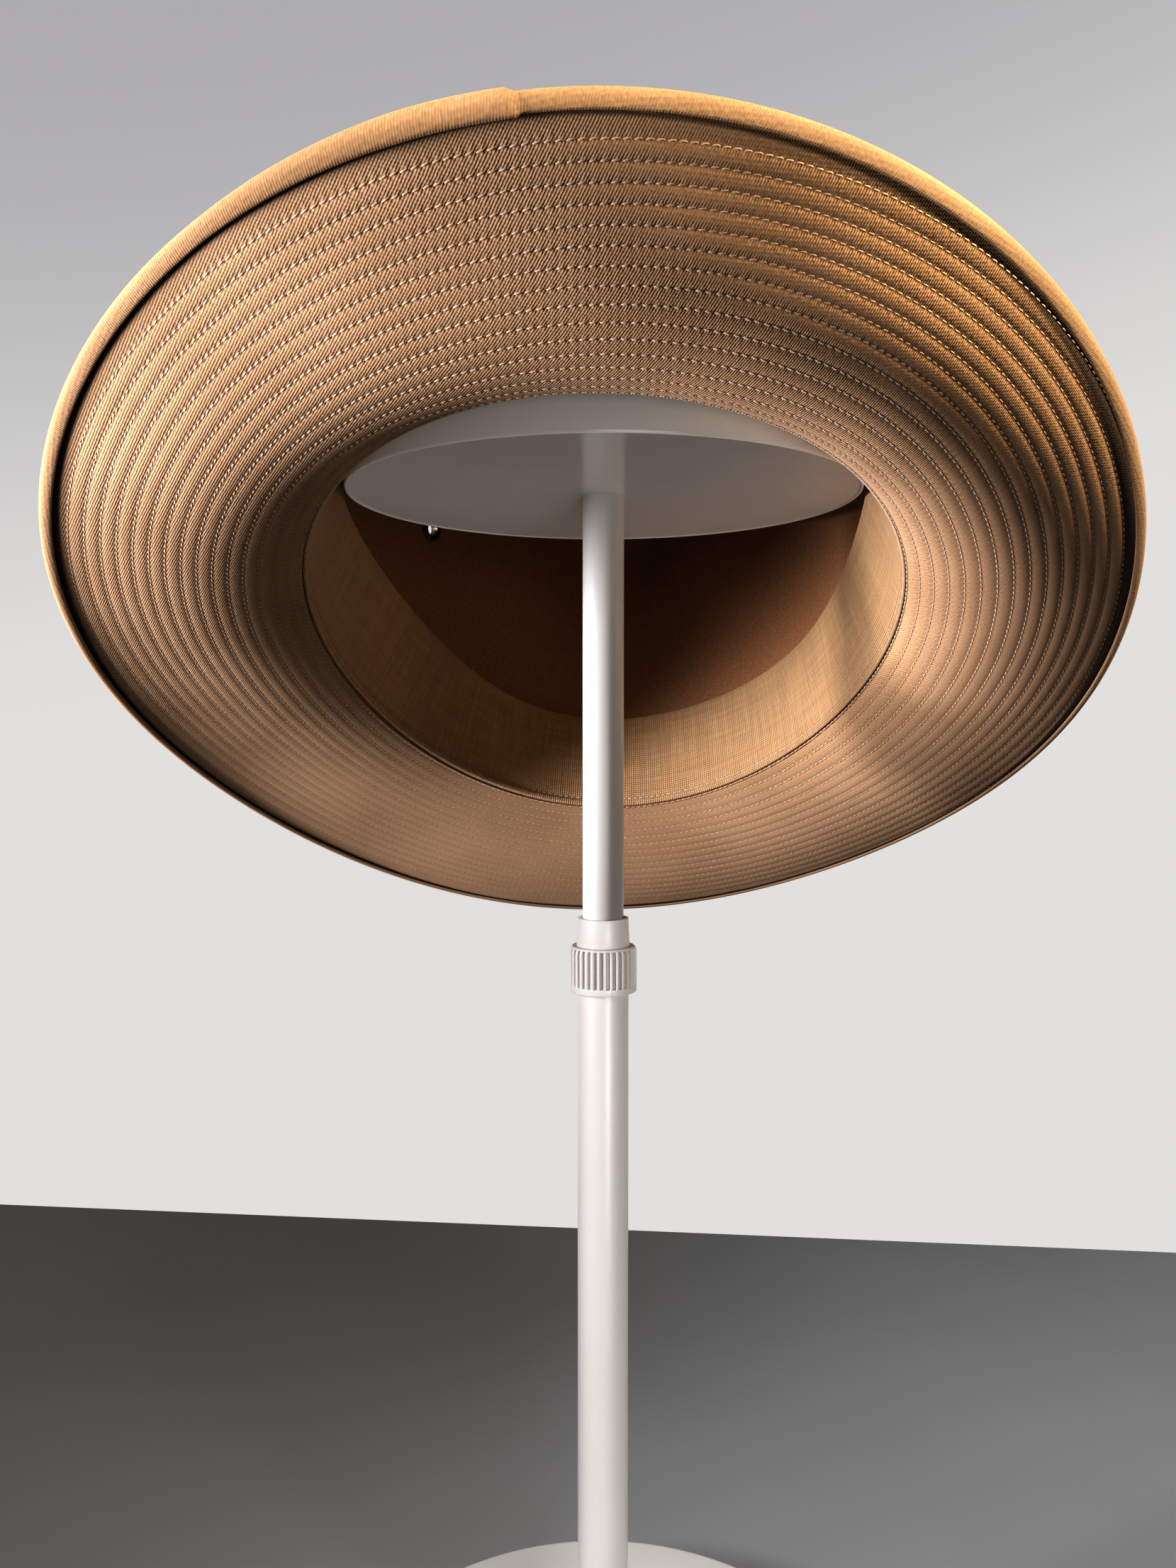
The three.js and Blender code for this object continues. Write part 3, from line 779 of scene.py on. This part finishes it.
# %% [markdown]
# ## Stand
#
# The stand is moulded in glossy white plastic: a round foot, a fixed tube, a ribbed clamp collar with a
# short sleeve on it, a thinner sliding tube, and a flat drum that carries the crown from inside. The
# pieces reach a little into each other here, so that no light shows between them.

# %% Foot, tubes, sleeve and drum
STAND_SIDES = 96
FOOT_RADIUS = 95
FOOT_HEIGHT = 11.5
FOOT_EDGE = 4
FOOT_CORNER = 1.2
LOWER_TUBE_RADIUS = 7.5
COLLAR_BOTTOM = 242.9
COLLAR_HEIGHT = 13.3
COLLAR_RADIUS = 9.85
SLEEVE_TOP = 264.4
# Sleeve's radius at its foot and top, its bore's at the mouth and below, how deep the mouth is, and how
# far the thin tube reaches below it
SLEEVE_RADIUS = (7.85, 7.45)
SLEEVE_BORE = (6.7, 6.5)
SLEEVE_MOUTH = 0.8
SLEEVE_SEAT = 0.4
UPPER_TUBE_RADIUS = 6
DRUM_BOTTOM = 386.9
DRUM_RADIUS = 73.6
DRUM_HEIGHT = 15.8
DRUM_EDGE = 6
DRUM_CORNER = 1.8
# Thin lip round the drum's underside: in from its wall, and height over the underside
DRUM_LIP = ((1.2, 0), (0.9, -0.35), (0.2, -0.35), (0, 0.5))
REACH = 0.6

collar_top = COLLAR_BOTTOM + COLLAR_HEIGHT
drum_top = DRUM_BOTTOM + DRUM_HEIGHT
sleeve_floor = SLEEVE_TOP - SLEEVE_MOUTH


def rod(radius, bottom, top):
    """Half section of a plain round rod."""
    return (0, bottom), (radius, bottom), (radius, top), (0, top)


foot_section = ((0, 0), (FOOT_RADIUS - FOOT_CORNER, 0), (FOOT_RADIUS, FOOT_CORNER),
                (FOOT_RADIUS, FOOT_HEIGHT - FOOT_EDGE),
                (FOOT_RADIUS - FOOT_CORNER, FOOT_HEIGHT - FOOT_CORNER),
                (FOOT_RADIUS - FOOT_EDGE, FOOT_HEIGHT), (0, FOOT_HEIGHT))
foot = turned("stand_foot", foot_section, STAND_SIDES, bevel=1.4, segments=4)
settle(foot, "stand_plastic", "stand_base")
lower_section = rod(LOWER_TUBE_RADIUS, FOOT_HEIGHT - REACH, COLLAR_BOTTOM + REACH)
lower_tube = turned("stand_tube_lower", lower_section, STAND_SIDES, bevel=0.3)
settle(lower_tube, "stand_plastic", "stand_lower_tube")
sleeve_section = ((0, collar_top - REACH), (SLEEVE_RADIUS[0], collar_top - REACH),
                  (SLEEVE_RADIUS[1], SLEEVE_TOP), (SLEEVE_BORE[0], SLEEVE_TOP),
                  (SLEEVE_BORE[1], sleeve_floor), (0, sleeve_floor))
sleeve = turned("stand_sleeve_ring", sleeve_section, STAND_SIDES, bevel=0.25)
settle(sleeve, "stand_plastic", "stand_sleeve")
upper_section = rod(UPPER_TUBE_RADIUS, sleeve_floor - SLEEVE_SEAT, DRUM_BOTTOM + REACH)
upper_tube = turned("stand_tube_upper", upper_section, STAND_SIDES, bevel=0.2)
settle(upper_tube, "stand_plastic", "stand_upper_tube")
drum_section = ((0, DRUM_BOTTOM),
                *((DRUM_RADIUS - inset, DRUM_BOTTOM + height) for inset, height in DRUM_LIP),
                (DRUM_RADIUS, drum_top - DRUM_EDGE), (DRUM_RADIUS - DRUM_CORNER, drum_top - DRUM_CORNER),
                (DRUM_RADIUS - DRUM_EDGE, drum_top), (0, drum_top))
drum = turned("stand_drum", drum_section, STAND_SIDES, bevel=0.2)
settle(drum, "stand_plastic", "stand_top")

# %% [markdown]
# ## Clamp collar
#
# A hand turns the collar, so it has upright ribs for grip between a smooth lower rim and a rounded
# shoulder. It starts as a cylinder with five sides to each rib and its groove. Bisect cuts mark where the
# grooves start and stop and where the shoulder turns in. Three of every five sides are then pressed in.

# %% Ribbed collar
COLLAR_RIBS = 32
RIB_SIDES = 2
GROOVE_SIDES = 3
GROOVE_DEPTH = 1
COLLAR_RIM = 1.9
COLLAR_BEVEL = 0.22
RING_TOLERANCE = 0.01
# Rings of the rounded shoulder: below the collar's top, and share of its radius
COLLAR_SHOULDER = ((1.6, 1), (0.6, 0.975), (0, 0.93))


def make_collar():
    deselect()
    middle = COLLAR_BOTTOM + COLLAR_HEIGHT / 2
    sides = RIB_SIDES + GROOVE_SIDES
    bpy.ops.mesh.primitive_cylinder_add(vertices=sides * COLLAR_RIBS, radius=COLLAR_RADIUS * MM,
                                        depth=COLLAR_HEIGHT * MM, location=(0, 0, middle * MM))
    bpy.ops.object.transform_apply(location=True, rotation=False, scale=False)
    piece = bpy.context.object
    piece.name = "stand_collar_ribbed"
    low = (COLLAR_BOTTOM + COLLAR_RIM) * MM
    rings = [((collar_top - below) * MM, share) for below, share in COLLAR_SHOULDER]
    high = rings[0][0]
    for height in (low, *(height for height, _ in rings[:-1])):
        edit(lambda: bpy.ops.mesh.bisect(plane_co=(0, 0, height), plane_no=(0, 0, 1)))
    for vertex in piece.data.vertices:
        for height, share in rings:
            if abs(vertex.co.z - height) < RING_TOLERANCE * MM:
                vertex.co.xy *= share
    for face in piece.data.polygons:
        turn = math.atan2(face.center.y, face.center.x) % math.tau / math.tau
        side = int(turn * sides * COLLAR_RIBS)
        upright = abs(face.normal.z) < 0.5
        face.select = upright and low < face.center.z < high and side % sides >= RIB_SIDES
    bpy.ops.object.mode_set(mode="EDIT")
    bpy.ops.mesh.select_mode(type="FACE")
    bpy.ops.mesh.extrude_region_shrink_fatten(TRANSFORM_OT_shrink_fatten={"value": -GROOVE_DEPTH * MM})
    bpy.ops.object.mode_set(mode="OBJECT")
    apply_modifier(piece, "BEVEL", width=COLLAR_BEVEL * MM, segments=3, limit_method="ANGLE",
                   angle_limit=BEVEL_ANGLE)
    bpy.ops.object.shade_smooth_by_angle(angle=SMOOTH_ANGLE)
    return piece


collar = make_collar()
settle(collar, "stand_plastic", "stand_collar")

# %% [markdown]
# ## Shader maths
#
# A finish is a small web of nodes. Written as Python, the web reads like the sum it works out. One class
# wraps an output socket, so that adding or multiplying two of them adds a Math node, and one method makes
# every other kind of node.

# %% A socket that can be used in sums


class Wire:
    """An output socket that can be used in sums."""

    def __init__(self, web, socket):
        self.web = web
        self.socket = socket

    def sum(self, operation, first, second=None):
        inputs = {0: first} if second is None else {0: first, 1: second}
        return self.web.node("ShaderNodeMath", {"operation": operation}, inputs)

    def __add__(self, other):
        return self.sum("ADD", self, other)

    def __sub__(self, other):
        return self.sum("SUBTRACT", self, other)

    def __rsub__(self, other):
        return self.sum("SUBTRACT", other, self)

    def __mul__(self, other):
        return self.sum("MULTIPLY", self, other)

    def __abs__(self):
        return self.sum("ABSOLUTE", self)

    __radd__ = __add__
    __rmul__ = __mul__

    def sine(self):
        return self.sum("SINE", self)

    def root(self):
        return self.sum("SQRT", self)

    def over(self, low, high):
        """0 below low, 1 above high, and a smooth step between them."""
        return self.web.node("ShaderNodeMapRange", {"interpolation_type": "SMOOTHSTEP"},
                             {"Value": self, "From Min": low, "From Max": high})


class Web:
    """The nodes of a material or of the world."""

    def __init__(self, tree, shader):
        self.tree = tree
        self.shader = tree.nodes[shader]

    def node(self, kind, settings, inputs, output=0):
        node = self.tree.nodes.new(kind)
        for name, value in settings.items():
            setattr(node, name, value)
        for key, value in inputs.items():
            if isinstance(value, Wire):
                self.tree.links.new(value.socket, node.inputs[key])
            else:
                node.inputs[key].default_value = value
        return Wire(self, node.outputs[output])

    def split(self, vector):
        """The three numbers of a vector."""
        parts = self.node("ShaderNodeSeparateXYZ", {}, {0: vector}).socket.node.outputs
        return [Wire(self, socket) for socket in parts]

    def noise(self, where, scale, detail=2):
        inputs = {"Vector": where, "Scale": scale, "Detail": detail}
        return self.node("ShaderNodeTexNoise", {}, inputs, "Fac")

    def mix(self, factor, first, second):
        """Between two colours."""
        return self.node("ShaderNodeMix", {"data_type": "RGBA"}, {0: factor, 6: first, 7: second}, 2)

    def bump(self, height, strength, distance):
        inputs = {"Height": height, "Strength": strength, "Distance": distance}
        return self.node("ShaderNodeBump", {}, inputs)

    def feed(self, sockets):
        for socket, wire in sockets.items():
            self.tree.links.new(wire.socket, self.shader.inputs[socket])


class Finish(Web):
    """A material with one Principled shader."""

    def __init__(self, name, uniform):
        self.material = bpy.data.materials.new(name)
        self.material.use_nodes = True
        super().__init__(self.material.node_tree, "Principled BSDF")
        for socket, value in uniform.items():
            self.shader.inputs[socket].default_value = value

    def uv(self, name, scale):
        """A UV map, scaled, and its two numbers."""
        flat = self.node("ShaderNodeUVMap", {"uv_map": name}, {})
        scaled = self.node("ShaderNodeVectorMath", {"operation": "SCALE"}, {0: flat, "Scale": scale})
        u, v, _ = self.split(scaled)
        return scaled, u, v

    def place(self):
        return self.node("ShaderNodeTexCoord", {}, {}, "Object")

    def cover(self, *pieces, side=0):
        """Goes on the outside of these pieces, or on the side marked 1."""
        for piece in pieces:
            while len(piece.data.materials) <= side:
                piece.data.materials.append(None)
            piece.data.materials[side] = self.material
        print(self.material.name, "on", ", ".join(piece.name for piece in pieces))


print("shader helper ready")

# %% [markdown]
# ## Twill
#
# Cotton twill is matt, with fine diagonal ridges about half a millimetre apart and a speckle of paler
# fibres. The cloth's flat UV map carries the ridges. On the brim, the stitch-counting map adds a pucker
# at every stitch, and painted shade in each pucker and along each row, where the cloth dips. Light
# hardly reaches the cloth beside the bead of the binding, and a narrow gap loses that darkness in a
# small picture, so a deep brown painted shade is mixed in there. The wrong side of the cloth is plain
# and darker, and its colour is also painted shade: near black inside the brim, where it shows only in
# the gap behind the bead, and a dim brown inside the crown.

# %% Twill finish
TWILL_DARK = (0.145, 0.075, 0.032, 1)
TWILL_PALE = (0.41, 0.25, 0.144, 1)
TWILL_SHADED = (0.03, 0.013, 0.004, 1)
RIDGE_PITCH = 0.56 * MM
WEAVE_DEPTH = 0.35 * MM
# Noise over the flat cloth, per ridge: bends of the ridges, speckle of fibres and slow patches
BEND_SCALE = 0.35
SPECKLE_SCALE = 0.9
PATCH_SCALE = 0.012
# From full to nothing beside a row, in rows: puckers, and the painted shade line. Then the puckers' depth,
# and the painted shade in them and on the line
PUCKER_REACH = (0.05, 0.42)
ROW_SHADE_REACH = (0.02, 0.16)
PUCKER_DEPTH = 0.55
PUCKER_SHADE = 0.05
LINE_SHADE = 0.1
# Where the shade beside the binding starts to fade and where it is gone, in millimetres from its end
SHADE_FADE = (-0.6, 0.5)


def twill(name, turn, relief, puckers=False):
    """Diagonal ridges on the UV map, turned by an angle, with puckers and painted shade on the brim."""
    finish = Finish(name, {"Roughness": 0.85, "Sheen Weight": 0.05, "Sheen Roughness": 0.5,
                          "Specular IOR Level": 0.12})
    where, u, v = finish.uv("UVMap", 1 / RIDGE_PITCH)
    bend = finish.noise(where, BEND_SCALE)
    across = u * math.cos(turn) + v * math.sin(turn) + bend * 0.5
    along = v * math.cos(turn) - u * math.sin(turn)
    ridge = (across * math.tau).sine() * 0.5 + 0.5
    yarn = (along * math.tau * 0.8 + across * 2.2).sine() * 0.5 + 0.5
    speckle = finish.noise(where, SPECKLE_SCALE, 3)
    patch = finish.noise(where, PATCH_SCALE)
    weave = (ridge * 0.7 + yarn * 0.3) * relief
    tone = weave * 0.2 + speckle * 0.5 + patch * 0.5 - 0.1 * relief
    height = weave * 0.6 + speckle * 0.6
    if puckers:
        _, count, aside = finish.uv("stitches", 1)
        pucker = (1 - abs(aside).over(*PUCKER_REACH)) * ((count * math.tau).sine() * 0.5 + 0.5)
        line = 1 - abs(aside).over(*ROW_SHADE_REACH)
        # Painted shade in each pucker and along each row, where the cloth dips
        tone = tone - line * LINE_SHADE - pucker * PUCKER_SHADE
        height = height - pucker * PUCKER_DEPTH
    colour = finish.mix(tone.over(0.02, 0.98), TWILL_DARK, TWILL_PALE)
    if puckers:
        _, past_shade, _ = finish.uv("shade", 1)
        colour = finish.mix(past_shade.over(*SHADE_FADE), TWILL_SHADED, colour)
    finish.feed({"Base Color": colour, "Normal": finish.bump(height, 0.5, WEAVE_DEPTH)})
    return finish


twill("brim_twill", math.radians(35), 1, puckers=True).cover(brim_under, brim_upper)
twill("crown_twill", math.radians(62), 1).cover(crown)
twill("binding_twill", math.radians(20), 0.5).cover(binding)

# %% Insides
FLUFF = 1.6
FIBRE_SCALE = 1400
# Name, colour and pieces of each wrong side
INSIDES = (
    # Painted shade: near black, it darkens the gap behind the binding's bead, the only place it shows
    ("brim_inside_painted_shade", (0.02, 0.012, 0.007), (brim_under, brim_upper, binding)),
    # The crown's wrong side, its dim brown partly painted shade for the crown's dark inside
    ("crown_inside_cloth_and_shade", (0.23, 0.104, 0.045), (crown,)),
)
for name, colour, pieces in INSIDES:
    backing = Finish(name, {"Roughness": 0.9})
    fibres = backing.noise(backing.place(), FIBRE_SCALE, 3).over(0.25, 0.8)
    fluffy = [channel * FLUFF for channel in colour]
    backing.feed({"Base Color": backing.mix(fibres, (*colour, 1), (*fluffy, 1))})
    backing.cover(*pieces, side=1)

# %% [markdown]
# ## Thread, tape, enamel and plastic
#
# Thread is a paler version of the cloth. The tape is a plain weave: two sets of crossing yarns, seen as a
# fine chequer of small dots, with thicker yarns here and there as faint streaks both ways. Eyelets are
# dark enamel, worn in places. The plastic is smooth, and a slow change of its gloss keeps it from looking
# computed. The drum is glossier than the tubes, and shade is painted into the collar's grooves.

# %% Thread finish
THREAD_DARK = (0.235, 0.133, 0.072, 1)
THREAD_PALE = (0.34, 0.205, 0.118, 1)
THREAD_FLECKS = 900
thread = Finish("thread", {"Roughness": 0.6, "Sheen Weight": 0.2})
thread_tone = thread.noise(thread.place(), THREAD_FLECKS).over(0.3, 0.7)
thread.feed({"Base Color": thread.mix(thread_tone, THREAD_DARK, THREAD_PALE)})
thread.cover(stitches_under, stitches_upper, stitches_band)

# %% Tape finish
TAPE_DARK = (0.115, 0.058, 0.02, 1)
TAPE_PALE = (0.33, 0.19, 0.082, 1)
YARN_PITCH = 0.8 * MM
SLUB_ACROSS = 0.6
SLUB_ALONG = 0.03
TAPE_DEPTH = 0.3 * MM
tape = Finish("sweatband_weave", {"Roughness": 0.7, "Sheen Weight": 0.2, "Specular IOR Level": 0.3})
_, tape_u, tape_v = tape.uv("UVMap", 1 / YARN_PITCH)
dots = abs((tape_u * math.pi).sine() * (tape_v * math.pi).sine())


def slubs(across_u, across_v):
    """Thick and thin yarns, as noise stretched along one way of the weave."""
    stretched = {0: tape_u * across_u, 1: tape_v * across_v}
    return tape.noise(tape.node("ShaderNodeCombineXYZ", {}, stretched), 1)


slub_along = slubs(SLUB_ACROSS, SLUB_ALONG)
slub_across = slubs(SLUB_ALONG, SLUB_ACROSS)
tape_tone = dots * 0.8 + slub_along * 0.55 + slub_across * 0.4 - 0.37
tape.feed({"Base Color": tape.mix(tape_tone.over(0, 1), TAPE_DARK, TAPE_PALE),
           "Normal": tape.bump(dots, 0.6, TAPE_DEPTH)})
tape.cover(sweatband)

# %% Enamel finish
ENAMEL = (0.035, 0.024, 0.016, 1)
ENAMEL_WORN = (0.11, 0.08, 0.05, 1)
WEAR_SCALE = 700
enamel = Finish("eyelet_enamel", {"Metallic": 0.6, "Roughness": 0.35})
enamel_wear = enamel.noise(enamel.place(), WEAR_SCALE).over(0.5, 0.75)
enamel.feed({"Base Color": enamel.mix(enamel_wear, ENAMEL, ENAMEL_WORN)})
enamel.cover(*eyelets)

# %% Plastic finish
PLASTIC_WHITE = (0.79, 0.78, 0.775, 1)
PLASTIC_CREAM = (0.77, 0.75, 0.72, 1)
# Painted shade in the collar's grooves, and how far out of a groove it fades, in millimetres
PLASTIC_GROOVE_SHADE = (0.46, 0.43, 0.40, 1)
GROOVE_SHADE_FADE = 0.25
TUBE_ROUGHNESS = 0.3
DRUM_ROUGHNESS = 0.14
CLOUD_SCALE = 18
GLOSS_SCALE = 60
GLOSS_CHANGE = 0.08


def plastic(name, roughness, grooves=False):
    """White plastic of a given gloss, with painted shade in the collar's grooves."""
    finish = Finish(name, {"Specular IOR Level": 0.5})
    where = finish.place()
    cloudy = finish.noise(where, CLOUD_SCALE, 3)
    colour = finish.mix(cloudy.over(0.3, 0.8), PLASTIC_WHITE, PLASTIC_CREAM)
    if grooves:
        x, y, _ = finish.split(where)
        radius = (x * x + y * y).root()
        groove = COLLAR_RADIUS - GROOVE_DEPTH
        unshaded = radius.over(groove * MM, (groove + GROOVE_SHADE_FADE) * MM)
        # Painted shade on the groove floors, fading out up their sides
        colour = finish.mix(unshaded, PLASTIC_GROOVE_SHADE, colour)
    gloss = finish.noise(where, GLOSS_SCALE) * GLOSS_CHANGE + roughness
    finish.feed({"Base Color": colour, "Roughness": gloss})
    return finish


plastic("tube_plastic", TUBE_ROUGHNESS).cover(foot, lower_tube, sleeve, upper_tube)
plastic("collar_plastic", TUBE_ROUGHNESS, grooves=True).cover(collar)
plastic("drum_plastic", DRUM_ROUGHNESS).cover(drum)

# %% [markdown]
# ## Studio
#
# The stand is on a pale table in front of a bright wall, which is only a part of the room's background.
# The main light stands on the left at the height of the brim and shines along under it, so that the ribs
# throw small shadows. A warm light high on the right picks out the edge. With the same lights on
# everything, the cloth would be too dark or the white stand too bright. A photographer would shade them
# with flags and cards. Here each light is linked to the pieces that it falls on, and a gamma below 1
# deepens the contrast.

# %% Table
TABLE_DEPTH = 0.8
TABLE_LENGTH = 1.6
TABLE_TURN = math.radians(-5.6)
TABLE_PALE = (0.64, 0.64, 0.635, 1)
TABLE_GREY = (0.56, 0.56, 0.555, 1)
TABLE_PATCHES = 9
deselect()
bpy.ops.mesh.primitive_plane_add(size=TABLE_DEPTH)
floor = bpy.context.object
floor.name = "table_top"
stretch = Matrix.Diagonal((TABLE_LENGTH / TABLE_DEPTH, 1, 1, 1))
floor.data.transform(Matrix.Rotation(TABLE_TURN, 4, "Z") @ stretch)
table = Finish("table_paper", {"Roughness": 0.8})
table_tone = table.noise(table.place(), TABLE_PATCHES)
table.feed({"Base Color": table.mix(table_tone, TABLE_GREY, TABLE_PALE)})
table.cover(floor)

# %% Wall and room
WALL = (0.8, 0.79, 0.78, 1)
WALL_TOP = (0.5, 0.49, 0.505, 1)
ROOM = (0.031, 0.023, 0.016, 1)
# Limits along a unit arrow from the hat: where the wall dims towards its top, how far that slants, and
# where the wall fades out at its sides and its foot
WALL_DIMS = (0.08, 0.55)
WALL_SLANT = 0.2
WALL_SIDES = (0.45, 0.8)
WALL_FOOT = (-0.47, -0.42)
world = bpy.data.worlds.new("room")
world.use_nodes = True
bpy.context.scene.world = world
room = Web(world.node_tree, "Background")
sky_x, sky_y, sky_z = room.split(room.node("ShaderNodeTexCoord", {}, {}, "Generated"))
wall = room.mix((sky_z - sky_x * WALL_SLANT).over(*WALL_DIMS), WALL, WALL_TOP)
in_front = sky_y.over(*WALL_SIDES) * sky_z.over(*WALL_FOOT)
room.feed({"Color": room.mix(in_front, ROOM, wall)})
print("wall in front of the camera:", WALL[:3])

# %% Lights
underside = (brim_under, stitches_under, sweatband, stitches_band)
upside = (brim_upper, stitches_upper)
crown_parts = (crown, *eyelets)
lower_stand = (foot, lower_tube, collar, sleeve)
KEY_PLACE = (-0.628, -0.204, 0.348)
# Name of each light, what it falls on, where it stands and the height it aims at in metres, its size,
# spread in degrees, power and colour
LIGHTS = (
    ("key_on_hat", (*underside, *upside, floor), KEY_PLACE, 0.4, 0.24, 60, 3.9, (0.99, 1, 1.06)),
    ("key_on_binding", (binding,), KEY_PLACE, 0.4, 0.24, 60, 3.1, (1, 0.98, 0.97)),
    ("key_on_crown", crown_parts, KEY_PLACE, 0.4, 0.24, 60, 1.8, (1, 0.98, 0.98)),
    ("warm_on_cloth", underside, (0.66, -0.2, 0.78), 0.4, 0.15, 40, 2.8, (1, 0.82, 0.54)),
    ("warm_on_binding", (binding,), (0.43, -0.58, 0.84), 0.4, 0.15, 40, 1.95, (1, 0.92, 0.7)),
    ("soft_on_crown", (*upside, *crown_parts), (0.35, -0.45, 1.2), 0.45, 0.8, 120, 9, (1, 0.98, 0.95)),
    ("glow_inside", (sweatband,), (0.3, -0.35, 0.25), 0.4, 0.2, 60, 0.08, (1, 0.7, 0.36)),
    ("key_on_stand", lower_stand, (-0.62, -0.42, 0.46), 0.3, 0.3, 70, 1.0, (1, 0.98, 1)),
    ("low_on_stand", lower_stand, (0.25, -0.6, 0.1), 0.13, 0.4, 26, 0.28, (1, 0.97, 0.93)),
    ("key_on_upper_tube", (upper_tube,), (-0.63, -0.23, 0.348), 0.35, 0.24, 60, 1.05, (1, 0.99, 1.02)),
    ("low_on_upper_tube", (upper_tube,), (0.2, -0.6, 0.1), 0.2, 0.4, 26, 0.07, (1, 0.93, 0.87)),
    ("low_on_drum", (drum,), (0.1, -0.5, 0.2), 0.4, 0.3, 60, 0.13, (1, 0.94, 0.88)),
    ("top_on_foot", (foot,), (0.15, -0.35, 0.5), 0, 0.2, 40, 0.25, (1, 0.97, 0.93)),
    ("dim_on_table", (floor,), (0.25, -0.55, 0.8), 0, 0.4, 80, 0.65, (0.9, 0.96, 1)),
)
CONTRAST_GAMMA = 0.8


def linked(name, pieces):
    """A collection of pieces that a light is linked to."""
    collection = bpy.data.collections.new(name)
    for piece in pieces:
        collection.objects.link(piece)
    return collection


for name, pieces, place, aim, size, spread, power, colour in LIGHTS:
    deselect()
    turn = (Vector((0, 0, aim)) - Vector(place)).to_track_quat("-Z", "Y").to_euler()
    bpy.ops.object.light_add(type="AREA", location=place, rotation=turn)
    light = bpy.context.object
    light.name = name
    light.data.size = size
    light.data.spread = math.radians(spread)
    light.data.energy = power
    light.data.color = colour
    light.light_linking.receiver_collection = linked(name + "_falls_on", pieces)
shading = linked("warm_on_cloth_shaded_by", (brim_under, brim_upper, crown, sweatband, drum))
bpy.data.objects["warm_on_cloth"].light_linking.blocker_collection = shading
bpy.context.scene.view_settings.view_transform = "Standard"
bpy.context.scene.view_settings.gamma = CONTRAST_GAMMA
print("lights:", ", ".join(light[0] for light in LIGHTS))
